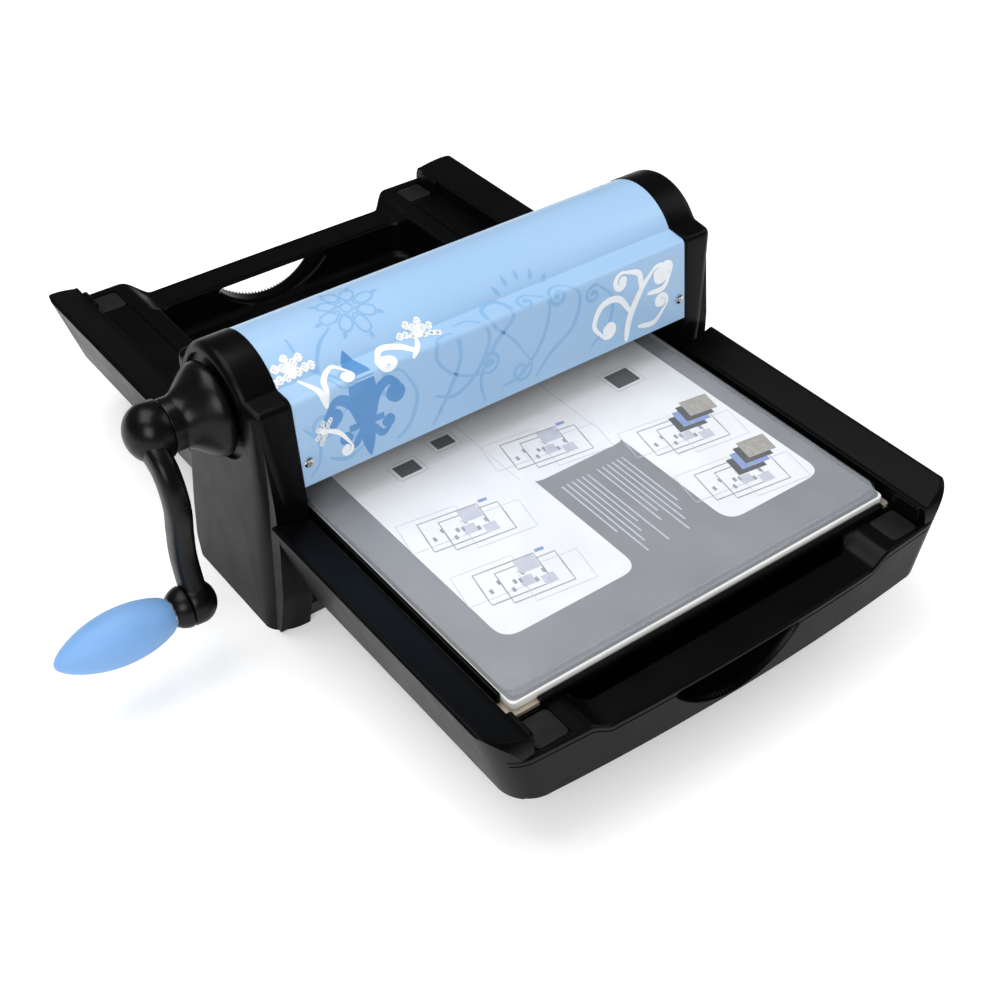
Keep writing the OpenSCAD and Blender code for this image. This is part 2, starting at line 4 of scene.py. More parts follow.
import bmesh
import bpy
import numpy as np
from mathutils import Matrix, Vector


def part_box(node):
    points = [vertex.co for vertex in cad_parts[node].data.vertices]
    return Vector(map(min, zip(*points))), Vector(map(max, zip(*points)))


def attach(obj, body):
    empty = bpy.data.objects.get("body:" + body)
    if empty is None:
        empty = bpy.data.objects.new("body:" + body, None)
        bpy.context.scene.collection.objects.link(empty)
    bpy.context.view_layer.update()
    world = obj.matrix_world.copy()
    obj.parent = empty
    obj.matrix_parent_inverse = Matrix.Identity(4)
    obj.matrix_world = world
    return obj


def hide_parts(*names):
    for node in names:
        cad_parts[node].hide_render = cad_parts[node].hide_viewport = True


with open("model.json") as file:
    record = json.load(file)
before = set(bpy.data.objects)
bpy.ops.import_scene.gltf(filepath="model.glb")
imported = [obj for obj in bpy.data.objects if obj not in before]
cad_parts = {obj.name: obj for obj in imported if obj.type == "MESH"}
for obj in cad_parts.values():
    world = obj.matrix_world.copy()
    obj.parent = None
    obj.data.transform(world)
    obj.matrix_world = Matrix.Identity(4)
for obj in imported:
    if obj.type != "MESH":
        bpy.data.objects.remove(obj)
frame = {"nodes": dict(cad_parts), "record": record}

# Table-top die cutting machine: moulded shells, printed cover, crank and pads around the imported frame.
# Lengths in the dictionaries are millimetres; meshes are written in metres.

print("frame loaded:", len(frame["nodes"]), "nodes")
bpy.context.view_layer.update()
mm = 0.001
nodes = frame["nodes"]


def boxOf(node):  # lowest and highest corner of a node, in millimetres
    low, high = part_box(node)
    return np.array(low) / mm, np.array(high) / mm


def gridFaces(rows, columns, wrapRows=False, wrapColumns=False):
    # quad k joins grid corners (i,j), (i,j+1), (i+1,j+1), (i+1,j); wrapped directions close on themselves
    i = np.arange(rows if wrapRows else rows - 1)[:, None]
    j = np.arange(columns if wrapColumns else columns - 1)[None, :]
    up, across = (i + 1) % rows, (j + 1) % columns
    quads = np.stack(np.broadcast_arrays(i * columns + j, i * columns + across,
                                         up * columns + across, up * columns + j), axis=-1)
    return quads.reshape(-1, 4)


def shell(points, wrapRows=False, wrapColumns=True, capFirst=True, capLast=True):
    # a grid of points as one skin, its first and last rows closed by flat faces
    rows, columns = points.shape[:2]
    faces = gridFaces(rows, columns, wrapRows, wrapColumns).tolist()
    if capFirst and not wrapRows:
        faces.append(list(range(columns))[::-1])
    if capLast and not wrapRows:
        faces.append([(rows - 1) * columns + k for k in range(columns)])
    return points.reshape(-1, 3), faces


def joined(*skins):
    # several skins as one list of points and faces
    points, faces, start = [], [], 0
    for skinPoints, skinFaces in skins:
        points.append(skinPoints)
        faces += [[start + k for k in face] for face in skinFaces]
        start += len(skinPoints)
    return np.concatenate(points), faces


def faceOutwards(work):
    # one direction for all faces, then outwards by the sign of the volume
    bmesh.ops.recalc_face_normals(work, faces=work.faces)
    if work.calc_volume(signed=True) < 0:
        bmesh.ops.reverse_faces(work, faces=work.faces)


def makePiece(name, skin, body, material, sharp=32, outward=True):
    points, faces = skin
    mesh = bpy.data.meshes.new(name)
    mesh.from_pydata((points * mm).tolist(), [], faces)
    if outward:
        work = bmesh.new()
        work.from_mesh(mesh)
        bmesh.ops.remove_doubles(work, verts=work.verts, dist=1e-6)
        faceOutwards(work)
        work.to_mesh(mesh)
        work.free()
    mesh.shade_smooth()
    mesh.set_sharp_from_angle(angle=math.radians(sharp))
    mesh.materials.append(material)
    piece = bpy.data.objects.new(name, mesh)
    bpy.context.scene.collection.objects.link(piece)
    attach(piece, body)
    return piece


def bevelled(piece, width, segments=2, angle=35):
    cut = piece.modifiers.new("edges", "BEVEL")
    cut.width, cut.segments, cut.limit_method = width * mm, segments, "ANGLE"
    cut.angle_limit = math.radians(angle)
    cut.use_clamp_overlap = True
    piece.modifiers.new("flats", "WEIGHTED_NORMAL").keep_sharp = False
    return piece


def easedCopy(node, body, material, width, segments=2, angle=35):
    # a CAD node's own shape with its loose triangles joined, its flats dissolved and its edges eased
    source = nodes[node]
    mesh = source.data.copy()
    work = bmesh.new()
    work.from_mesh(mesh)
    bmesh.ops.remove_doubles(work, verts=work.verts, dist=2e-6)
    bmesh.ops.dissolve_limit(work, angle_limit=math.radians(0.6), verts=work.verts, edges=work.edges)
    work.to_mesh(mesh)
    work.free()
    mesh.materials.clear()
    mesh.materials.append(material)
    mesh.shade_smooth()
    piece = bpy.data.objects.new(node + "_finished", mesh)
    bpy.context.scene.collection.objects.link(piece)
    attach(piece, body)
    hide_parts(node)
    return bevelled(piece, width, segments, angle)


def roundedLine(keys, steps=6):
    # polyline through the keys (y, z, corner radius, extras...); a corner becomes a quadratic arc that
    # starts and ends at radius * tan(turn / 2) from it, and the extras follow in the same proportion
    keys = np.array(keys, float)
    place, radius = np.delete(keys, 2, axis=1), keys[:, 2]
    line = [place[0]]
    for k in range(1, len(keys) - 1):
        before, corner, after = place[k - 1], place[k], place[k + 1]
        lenA, lenB = np.linalg.norm((before - corner)[:2]), np.linalg.norm((after - corner)[:2])
        cosTurn = -np.dot((before - corner)[:2], (after - corner)[:2]) / (lenA * lenB)
        reach = radius[k] * math.tan(math.acos(np.clip(cosTurn, -1, 1)) / 2)
        start = corner + (before - corner) * min(0.49, reach / lenA)
        end = corner + (after - corner) * min(0.49, reach / lenB)
        t = np.linspace(0, 1, steps + 1)[:, None]
        line.extend(start * (1 - t) ** 2 + corner * 2 * t * (1 - t) + end * t ** 2)
    line.append(place[-1])
    return np.array(line)


def filled(line, spacing):
    # the same line with extra points, so that no step is longer than the spacing
    steps = np.maximum(1, np.ceil(np.linalg.norm(np.diff(line[:, :2], axis=0), axis=1) / spacing)).astype(int)
    at = np.concatenate([k + np.arange(n) / n for k, n in enumerate(steps)] + [[len(line) - 1.0]])
    return np.stack([np.interp(at, np.arange(len(line)), column) for column in line.T], axis=1)


def lathe(profile, y, z, segments=96):
    # ring of radius r at each x of the profile, around the line along X through (y, z)
    x, r = np.array(profile, float).T
    turn = np.linspace(0, 2 * np.pi, segments, endpoint=False)
    return np.stack(np.broadcast_arrays(x[:, None], y + r[:, None] * np.cos(turn),
                                        z + r[:, None] * np.sin(turn)), axis=-1)


def smoothPath(points, perSpan=12):
    # Catmull-Rom curve through the inner points; the first and last only set its direction
    p = np.array(points, float)
    t = np.linspace(0, 1, perSpan, endpoint=False)[None, :, None]
    a, b, c, d = (p[k:len(p) - 3 + k, None] for k in range(4))
    curve = 0.5 * (2 * b + (c - a) * t + (2 * a - 5 * b + 4 * c - d) * t ** 2
                   + (3 * b - a - 3 * c + d) * t ** 3)
    return np.concatenate([curve.reshape(-1, p.shape[1]), p[-2:-1]])


def roundRect(low, high, radius, steps=8):
    # outline of a rectangle with round corners, counter-clockwise
    turn = np.linspace(0, np.pi / 2, steps + 1)
    quarter = np.stack([np.cos(turn), np.sin(turn)], axis=1) * radius
    low, high = np.array(low, float) + radius, np.array(high, float) - radius
    corners = [(high[0], high[1], 0), (low[0], high[1], 1), (low[0], low[1], 2), (high[0], low[1], 3)]
    ring = []
    for cx, cy, k in corners:
        c, s = round(math.cos(k * math.pi / 2)), round(math.sin(k * math.pi / 2))
        ring.append(quarter @ np.array([[c, s], [-s, c]]) + (cx, cy))
    return np.concatenate(ring)


def slab(low, high, corner, edge, steps=8):
    # flat plate with round corners: its outline drawn in along a quarter circle at the top and bottom edge
    turn = np.linspace(0, np.pi / 2, 4)
    inset = np.concatenate([edge * (1 - np.sin(turn)), edge * (1 - np.cos(turn))])
    height = np.concatenate([low[2] + edge * (1 - np.cos(turn)), high[2] - edge * (1 - np.sin(turn))])
    rings = []
    for d, z in zip(inset, height):
        ring = roundRect((low[0] + d, low[1] + d), (high[0] - d, high[1] - d), max(corner - d, 0.05), steps)
        rings.append(np.column_stack([ring, np.full(len(ring), z)]))
    return shell(np.array(rings))


slotOf = {part["node"]: part["material_slot"] for part in frame["record"]["subparts"]}


def nodeTools(name):
    material = bpy.data.materials.new(name)
    material.use_nodes = True
    tree = material.node_tree
    return material, tree, tree.nodes["Principled BSDF"], tree.nodes.new("ShaderNodeTexCoord")


def noiseNode(tree, coordinate, scale, detail=3.0, stretch=(1, 1, 1)):
    mapping = tree.nodes.new("ShaderNodeMapping")
    mapping.inputs["Scale"].default_value = stretch
    tree.links.new(coordinate.outputs["Object"], mapping.inputs["Vector"])
    noise = tree.nodes.new("ShaderNodeTexNoise")
    noise.inputs["Scale"].default_value = scale
    noise.inputs["Detail"].default_value = detail
    tree.links.new(mapping.outputs["Vector"], noise.inputs["Vector"])
    return noise.outputs["Fac"]


def spread(tree, value, low, high):
    ranged = tree.nodes.new("ShaderNodeMapRange")
    ranged.inputs["From Min"].default_value, ranged.inputs["From Max"].default_value = 0.3, 0.7
    ranged.inputs["To Min"].default_value, ranged.inputs["To Max"].default_value = low, high
    tree.links.new(value, ranged.inputs["Value"])
    return ranged.outputs["Result"]


def twoTone(tree, value, dark, light):
    ramp = tree.nodes.new("ShaderNodeValToRGB")
    ramp.color_ramp.elements[0].position, ramp.color_ramp.elements[1].position = 0.3, 0.7
    ramp.color_ramp.elements[0].color, ramp.color_ramp.elements[1].color = (*dark, 1), (*light, 1)
    tree.links.new(value, ramp.inputs["Fac"])
    return ramp.outputs["Color"]


def finish(name, recipe):
    # moulded or worked surface: cloudy tone, uneven gloss and a fine grain, all from the piece's own place
    material, tree, shader, coordinate = nodeTools(name)
    stretch = recipe.get("stretch", (1, 1, 1))
    cloud = noiseNode(tree, coordinate, recipe["cloud"], 4, stretch)
    tree.links.new(twoTone(tree, cloud, recipe["dark"], recipe["light"]), shader.inputs["Base Color"])
    gloss = noiseNode(tree, coordinate, recipe["patch"], 5, stretch)
    tree.links.new(spread(tree, gloss, *recipe["roughness"]), shader.inputs["Roughness"])
    grain = noiseNode(tree, coordinate, recipe["grain"], 2, stretch)
    bump = tree.nodes.new("ShaderNodeBump")
    bump.inputs["Strength"].default_value = recipe["bump"]
    bump.inputs["Distance"].default_value = 0.0002
    tree.links.new(grain, bump.inputs["Height"])
    tree.links.new(bump.outputs["Normal"], shader.inputs["Normal"])
    shader.inputs["Metallic"].default_value = recipe.get("metal", 0)
    shader.inputs["Specular IOR Level"].default_value = recipe.get("shine", 0.5)
    shader.inputs["Coat Weight"].default_value = recipe.get("coat", 0)
    shader.inputs["Coat Roughness"].default_value = recipe.get("coatRoughness", 0.1)
    shader.inputs["Sheen Weight"].default_value = recipe.get("sheen", 0)
    return material


coverGloss = {"patch": 30, "roughness": (0.27, 0.33), "grain": 1400, "bump": 0.03, "coat": 0.25,
              "coatRoughness": 0.2}
paper = {"patch": 40, "roughness": (0.35, 0.45), "grain": 1500, "bump": 0.05}
recipes = {
    "blackPlastic": {"dark": (0.0012, 0.0012, 0.0015), "light": (0.0022, 0.0022, 0.0026), "cloud": 14, "patch": 40,
                     "roughness": (0.30, 0.38), "grain": 2600, "bump": 0.06, "shine": 0.12},
    "blackGloss": {"dark": (0.0018, 0.0018, 0.002), "light": (0.003, 0.003, 0.0034), "cloud": 20, "patch": 60,
                   "roughness": (0.24, 0.34), "grain": 3200, "bump": 0.16, "shine": 0.26},
    "blackMatte": {"dark": (0.004, 0.004, 0.004), "light": (0.009, 0.009, 0.009), "cloud": 60, "patch": 90,
                   "roughness": (0.55, 0.75), "grain": 1800, "bump": 0.25, "shine": 0.3},
    "coverBlue": {"dark": (0.335, 0.53, 0.775), "light": (0.36, 0.555, 0.795), "cloud": 6, **coverGloss},
    "scrollBlue": {"dark": (0.235, 0.445, 0.72), "light": (0.26, 0.47, 0.74), "cloud": 40, **coverGloss},
    "motifBlue": {"dark": (0.085, 0.26, 0.56), "light": (0.11, 0.30, 0.62), "cloud": 40, **coverGloss},
    "flowerWhite": {"dark": (0.83, 0.88, 0.92), "light": (0.92, 0.95, 0.97), "cloud": 40, **coverGloss},
    "gripBlue": {"dark": (0.165, 0.36, 0.70), "light": (0.20, 0.40, 0.74), "cloud": 25, "patch": 50,
                 "roughness": (0.42, 0.52), "grain": 2200, "bump": 0.30, "shine": 0.4, "sheen": 0.15},
    "steel": {"dark": (0.42, 0.43, 0.45), "light": (0.62, 0.63, 0.65), "cloud": 60, "patch": 120, "metal": 1,
              "roughness": (0.22, 0.38), "grain": 900, "bump": 0.2, "stretch": (0.05, 1, 1)},
    "darkSteel": {"dark": (0.07, 0.07, 0.075), "light": (0.16, 0.16, 0.17), "cloud": 50, "patch": 90, "metal": 1,
                  "roughness": (0.3, 0.5), "grain": 1100, "bump": 0.3},
    "bronze": {"dark": (0.36, 0.22, 0.09), "light": (0.58, 0.38, 0.17), "cloud": 200, "patch": 300, "metal": 1,
               "roughness": (0.3, 0.5), "grain": 2500, "bump": 0.4},
    "chrome": {"dark": (0.66, 0.66, 0.67), "light": (0.82, 0.82, 0.83), "cloud": 300, "patch": 400, "metal": 1,
               "roughness": (0.08, 0.2), "grain": 900, "bump": 0.1},
    "milkyPad": {"dark": (0.66, 0.67, 0.66), "light": (0.80, 0.80, 0.78), "cloud": 30, "patch": 50,
                 "roughness": (0.3, 0.42), "grain": 500, "bump": 0.15, "stretch": (0.2, 0.2, 3)},
    "boardMetal": {"dark": (0.42, 0.35, 0.26), "light": (0.60, 0.52, 0.42), "cloud": 70, "patch": 90, "metal": 0.6,
                   "roughness": (0.35, 0.5), "grain": 1200, "bump": 0.25},
    "printGrey": {"dark": (0.19, 0.20, 0.225), "light": (0.22, 0.23, 0.255), "cloud": 12, **paper},
    "printWhite": {"dark": (0.88, 0.90, 0.95), "light": (0.92, 0.935, 0.965), "cloud": 8, **paper},
    "printLine": {"dark": (0.24, 0.25, 0.29), "light": (0.36, 0.37, 0.42), "cloud": 200, **paper},
    "printPale": {"dark": (0.52, 0.55, 0.66), "light": (0.62, 0.65, 0.75), "cloud": 200, **paper},
    "printDark": {"dark": (0.012, 0.013, 0.017), "light": (0.03, 0.03, 0.04), "cloud": 400, "patch": 40,
                  "roughness": (0.3, 0.4), "grain": 1500, "bump": 0.05},
    "printBlue": {"dark": (0.18, 0.28, 0.60), "light": (0.24, 0.34, 0.66), "cloud": 200, **paper},
    "printTan": {"dark": (0.30, 0.28, 0.25), "light": (0.42, 0.40, 0.36), "cloud": 300, **paper},
}
finishes = {name: finish(name, recipe) for name, recipe in recipes.items()}


def clearSheet(name, tint, edgeHaze):
    # clear plastic: light goes straight through, with a gloss that grows at grazing angles and faint haze
    material, tree, shader, coordinate = nodeTools(name)
    shader.inputs["Base Color"].default_value = (*tint, 1)
    haze = noiseNode(tree, coordinate, 25, 4)
    tree.links.new(spread(tree, haze, *edgeHaze), shader.inputs["Alpha"])
    gloss = noiseNode(tree, coordinate, 60, 4)
    tree.links.new(spread(tree, gloss, 0.04, 0.12), shader.inputs["Roughness"])
    return material


clearFace = clearSheet("clearFace", (0.86, 0.90, 0.94), (0.03, 0.055))
clearEdge = clearSheet("clearEdge", (0.46, 0.50, 0.53), (0.34, 0.5))

print("finishes made:", len(finishes) + 2)

coverLow, coverHigh = boxOf("top_cover")
housingLow, housingHigh = boxOf("right_housing")
sheetX = coverHigh[0]
shape = {
    "crownY": 0, "crownZ": 179, "crownR": 46.5,  # half-round top
    "ledgeFront": 25.2, "ledgeRear": 19.6,       # height of the creases above the crown's centre
    "sheetInset": 0.6, "sheetT": 2.0, "sheetLowZ": coverLow[2],
    "innerX": housingLow[0], "outerX": housingHigh[0],
    "wall": 2.5, "recessR": 38.5, "recessDepth": 3.5, "shaftHole": 10,
}


def crownArc(steps=48):
    # half-round top from the front crease to the rear crease, with its inward pull in the last columns
    a0 = math.pi - math.asin(shape["ledgeFront"] / shape["crownR"])
    a1 = math.asin(shape["ledgeRear"] / shape["crownR"])
    a = np.linspace(a0, a1, steps)
    c, s = np.cos(a), np.sin(a)
    return np.column_stack([shape["crownY"] + shape["crownR"] * c, shape["crownZ"] + shape["crownR"] * s,
                            -6 * c, -6 * s, np.full(steps, 6.5)])


def outline():
    # side outline, rows of (y, z, pull y, pull z, edge reach): the pull draws a point in where the shell
    # turns round its outer edge, so the front corner is slim at the top and full at the table
    crest = crownArc()
    front = roundedLine([(-50, 0, 0, 16, 0, 24), (-60, 40, 60, 26, 0, 24), (-65.5, 95, 60, 29.5, 0, 23),
                         (-65, 130, 40, 25, 0, 17), (-56.6, 202.4, 5.2, 7, -4, 7),
                         (crest[0, 0], crest[0, 1], 0, 2.5, -4.5, 5.5)], 8)
    rear = roundedLine([(crest[-1, 0], crest[-1, 1], 0, -2, -5, 6), (50.4, 198.6, 3.6, -5, -4, 7),
                        (57.6, 115, 30, -8, 0, 8), (69, 51, 30, -9, 0, 8), (73, 18, 30, -9, 0, 8),
                        (70, 0, 0, -9, 0, 8)], 6)
    bottom = np.linspace(rear[-1], front[0], 16)[1:-1]
    return np.concatenate([filled(front, 6), crest[1:-1], filled(rear, 8), bottom])


def housing(side, recess):
    # rings of the outline from the mating face outwards; over the outer edge a ring is drawn in by
    # pull * (1 - cos a) and moved out by reach * sin a, then the flat side runs to the recess
    ring = outline()
    place, pull, reach = ring[:, :2], ring[:, 2:4], ring[:, 4]
    centre = np.array([shape["crownY"], crankZ])
    inner, outer = shape["innerX"], shape["outerX"]
    toCentre = centre - place
    inset = place + toCentre * (shape["wall"] / np.linalg.norm(toCentre, axis=1))[:, None]
    layers = [(np.full(len(ring), outer - 4), inset), (np.full(len(ring), inner), inset),
              (np.full(len(ring), inner), place)]
    layers += [(outer - reach + reach * math.sin(a), place + pull * (1 - math.cos(a)))
               for a in np.linspace(0, math.pi / 2, 10)]
    flat = np.full(len(ring), outer)
    spoke = layers[-1][1] - centre
    spoke = spoke / np.linalg.norm(spoke, axis=1)[:, None]
    if recess:
        floor, edge = outer - shape["recessDepth"], shape["recessR"]
        for x, r in [(outer, edge + 0.6), (outer - 0.25, edge + 0.15), (outer - 0.6, edge), (floor, edge),
                     (floor, shape["shaftHole"] + 1.5), (outer - 4, shape["shaftHole"] + 1.5)]:
            layers.append((flat * 0 + x, centre + spoke * r))
    points = np.array([np.column_stack([side * x, yz]) for x, yz in layers])
    return shell(points, wrapRows=recess)


crankZ = 180.0
for side, name, recess in ((1, "right_housing", False), (-1, "left_housing", True)):
    piece = makePiece(name + "_shell", housing(side, recess), "machine",
                      finishes["blackPlastic"], 28)
    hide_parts(name)


def sheetLine(inset):
    # outline of the printed sheet from its lower front edge over the crown to its lower rear edge
    r = shape["crownR"] - inset
    a0 = math.pi - math.asin((shape["ledgeFront"] - inset) / r)
    a1 = math.asin((shape["ledgeRear"] - inset) / r)
    a = np.linspace(a0, a1, 64)
    crest = np.column_stack([r * np.cos(a), shape["crownZ"] + r * np.sin(a)])
    low = shape["sheetLowZ"]
    front = roundedLine([(-64.2 + inset, low, 0), (-56.8 + inset, 202.4 - inset, 4.5), (*crest[0], 0)], 8)
    rear = roundedLine([(*crest[-1], 0), (50.2 - inset, 198.6 - inset, 3.2), (55.6 - inset, low, 0)], 6)
    return np.concatenate([filled(front[:-1], 4), crest, filled(rear[1:], 5)])


outerLine, innerLine = sheetLine(shape["sheetInset"]), sheetLine(shape["sheetInset"] + shape["sheetT"])
stations = np.array([-sheetX, -sheetX + 0.5, *np.linspace(-sheetX + 6, sheetX - 6, 24), sheetX - 0.5, sheetX])
loop = np.concatenate([outerLine, innerLine[::-1]])
sheetPoints = np.stack(np.broadcast_arrays(stations[:, None], loop[None, :, 0], loop[None, :, 1]), axis=-1)
coverSheet = makePiece("printed_cover", shell(sheetPoints), "machine", finishes["coverBlue"], 24)
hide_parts("top_cover")
print("housings and cover done")

arcLength = np.concatenate([[0], np.cumsum(np.linalg.norm(np.diff(outerLine, axis=0), axis=1))])
lineNormal = np.gradient(outerLine, axis=0)
lineNormal = np.column_stack([-lineNormal[:, 1], lineNormal[:, 0]])
lineNormal /= np.linalg.norm(lineNormal, axis=1)[:, None]


def onCover(flat, lift):
    # (x along the cover, distance up its outside from the lower front edge) to a point on the sheet
    s = flat[..., 1]
    y, z = (np.interp(s, arcLength, outerLine[:, k]) for k in (0, 1))
    ny, nz = (np.interp(s, arcLength, lineNormal[:, k]) for k in (0, 1))
    return np.stack([flat[..., 0], y + ny * lift, z + nz * lift], axis=-1)


def ribbonStrip(path, width):
    # left and right edges at half a width either side of the path
    step = np.gradient(path, axis=0)
    side = np.column_stack([-step[:, 1], step[:, 0]]) / np.linalg.norm(step, axis=1)[:, None]
    half = np.reshape(width, (-1, 1)) / 2
    return np.stack([path + side * half, path, path - side * half], axis=1)


def scroll(centre, radius, turns, start, hand, width, tail=None):
    # spiral whose radius falls evenly to a fifth, ending in a round bud; the tail is a curve into it
    t = np.linspace(0, 1, int(36 * turns) + 8)
    a = np.radians(start) + hand * t * turns * 2 * np.pi
    r = radius * (1 - 0.8 * t)
    path = np.column_stack([centre[0] + r * np.cos(a), centre[1] + r * np.sin(a)])
    if tail is not None:
        lead = smoothPath(np.vstack([2 * np.array(tail[0]) - tail[1], tail, path[:2]]), 10)[:-1]
        path = np.vstack([lead, path])
    wide = width * (0.35 + 0.65 * np.sin(np.pi * np.linspace(0.06, 0.9, len(path))))
    turn = np.linspace(0, 2 * np.pi, 20)
    bud = path[-1] + width * 0.78 * np.column_stack([np.cos(turn), np.sin(turn)])
    centreRow = np.repeat(path[-1:], 20, axis=0)
    return [ribbonStrip(path, wide), np.stack([bud, (bud + centreRow) / 2, centreRow], axis=1)]


def petal(root, angle, length, width, bend=0.0):
    # leaf: half width is sin(pi t) shaped and the middle line bends by t squared
    t = np.linspace(0, 1, 22)
    a = math.radians(angle)
    along, across = np.array([math.cos(a), math.sin(a)]), np.array([-math.sin(a), math.cos(a)])
    path = root + np.outer(length * t, along) + np.outer(bend * t ** 2, across)
    return ribbonStrip(path, width * np.sin(np.pi * t ** 0.8) ** 0.8 + 0.02)


def ringStrip(centre, radius, width, lobes=0, depth=0.0, steps=72):
    # closed ring whose radius waves lobes times
    a = np.linspace(0, 2 * np.pi, steps)
    r = radius + depth * np.cos(lobes * a)
    path = np.column_stack([centre[0] + r * np.cos(a), centre[1] + r * np.sin(a)])
    return ribbonStrip(path, np.full(steps, width))


def printStrips(name, strips, lift, material):
    # every strip laid on the sheet, one above the next by a hair so that none share a plane
    skins = []
    for k, strip in enumerate(strips):
        points = onCover(np.asarray(strip, float), lift + 0.002 * k)
        skins.append((points.reshape(-1, 3), gridFaces(*points.shape[:2]).tolist()))
    piece = makePiece(name, joined(*skins), "machine", material, 40, outward=False)
    work = bmesh.new()
    work.from_mesh(piece.data)
    work.normal_update()
    middle = np.array([0, shape["crownY"], shape["crownZ"] - 30]) * mm
    inwards = [f for f in work.faces if (f.calc_center_median().y - middle[1]) * f.normal.y
               + (f.calc_center_median().z - middle[2]) * f.normal.z < 0]
    bmesh.ops.reverse_faces(work, faces=inwards)
    work.to_mesh(piece.data)
    work.free()
    return piece


def curl(points, width, hook=None):
    # smooth stroke through the points with round ends, thickest at a third of the way
    p = np.array(points, float)
    path = smoothPath(np.vstack([2 * p[0] - p[1], p, 2 * p[-1] - p[-2]]), 14)
    t = np.linspace(0, 1, len(path))
    strips = [ribbonStrip(path, width * (0.45 + 0.55 * np.sin(np.pi * t ** 0.7)))]
    if hook:
        step = path[-1] - path[-4]
        side = np.array([-step[1], step[0]]) / np.linalg.norm(step) * hook[1]
        start = math.degrees(math.atan2(-side[1], -side[0]))
        strips += scroll(path[-1] + side * hook[0], hook[0], hook[2], start, hook[1], width)
    return strips


def blossom(centre, size, start):
    # cluster of small lobed petals: three rows of round lobes that widen outwards
    strips = []
    for row, (count, reach) in enumerate(((3, 0.35), (4, 0.72), (5, 1.0))):
        for k in range(count):
            a = math.radians(start + 46 * (k - (count - 1) / 2) * (1.15 - 0.15 * row))
            spot = np.array(centre) + size * reach * np.array([math.cos(a), math.sin(a)])
            strips.append(ringStrip(spot, size * 0.10, size * 0.21, 4, size * 0.03, 28))
    strips.append(petal(np.array(centre, float), start, size * 0.9, size * 0.5))
    return strips


paleScrolls = []
for points, width, hook in [
    ([(-66, 4), (-52, 22), (-38, 46), (-40, 66), (-54, 66), (-56, 50), (-40, 34), (-16, 26)], 3.6,
     (9, 1, 1.2)),
    ([(-62, 26), (-44, 20), (-24, 32), (-12, 54), (-22, 72), (-36, 74)], 3.2, None),
    ([(-20, 4), (-22, 24), (-8, 46), (10, 62), (6, 80), (-8, 78), (-8, 62), (8, 44), (22, 22)], 3.6,
     (10, -1, 1.2)),
    ([(-4, 10), (14, 14), (34, 34), (42, 60), (30, 74)], 3.2, (8, 1, 1.1)),
    ([(26, 6), (40, 20), (62, 34), (70, 56), (58, 70)], 3.4, (10, 1, 1.3)),
    ([(-96, 6), (-84, 14), (-76, 34), (-84, 54)], 3.6, (12, 1, 1.3)),
    ([(-150, 112), (-148, 92), (-134, 74), (-128, 54), (-142, 34)], 3.0, (11, -1, 1.2)),
    ([(-118, 108), (-132, 98), (-140, 82), (-136, 66)], 2.6, (9, 1, 1.2)),
    ([(-166, 44), (-156, 30), (-158, 14), (-166, 6)], 2.8, None),
    ([(-150, 14), (-136, 8), (-120, 14)], 3.0, (9, 1, 1.2)),
    ([(78, 10), (96, 24), (100, 44), (88, 58)], 3.0, (8, 1, 1.2)),
]:
    paleScrolls += curl(points, width, hook)
for x, y, angle in ((12, 84, 120), (20, 88, 100), (30, 89, 84), (40, 86, 66), (48, 80, 48)):
    paleScrolls.append(petal(np.array([x, y], float), angle, 9, 3.6))
medallion = np.array([-98.0, 118.0])
for k in range(8):
    a = math.radians(45 * k + 12)
    way = np.array([math.cos(a), math.sin(a)])
    size = 20 if k % 2 else 23
    loop = np.array([medallion + way * size * t + np.array([-way[1], way[0]]) * w
                     for t, w in ((0.25, 0), (0.6, 4.4), (0.92, 3.6), (1, 0), (0.92, -3.6), (0.6, -4.4),
                                  (0.25, 0))])
    leafLine = smoothPath(np.vstack([loop[:1], loop, loop[-1:]]), 8)[1:-1]
    paleScrolls.append(ribbonStrip(leafLine, np.full(1, 1.5)))
    paleScrolls.append(petal(medallion + way * size * 1.02, 45 * k + 12, 6, 3.4))
paleScrolls += [ringStrip(medallion, 4.2, 1.5), ringStrip(medallion, 9, 1.2, 4, 1.4)]
printStrips("cover_scrolls", paleScrolls, 0.03, finishes["scrollBlue"])

motif = []
motifAt = np.array([-118.0, 40.0])
motif += [petal(motifAt - (0, 12), 90, 62, 21), petal(motifAt - (0, 6), 270, 32, 11)]
for side in (-1, 1):
    motif += curl([motifAt + (side * 4, -12), motifAt + (side * 9, 6), motifAt + (side * 20, 14),
                   motifAt + (side * 29, 6)], 8.5, (5.5, -side, 0.7))
    motif += curl([motifAt + (side * 4, -14), motifAt + (side * 11, -24), motifAt + (side * 19, -20)], 5.5,
                  (4, side, 0.7))
motif.append(ribbonStrip(np.array([motifAt + (x, -11) for x in np.linspace(-14, 14, 9)]), np.full(9, 5.0)))
printStrips("cover_motif", motif, 0.09, finishes["motifBlue"])

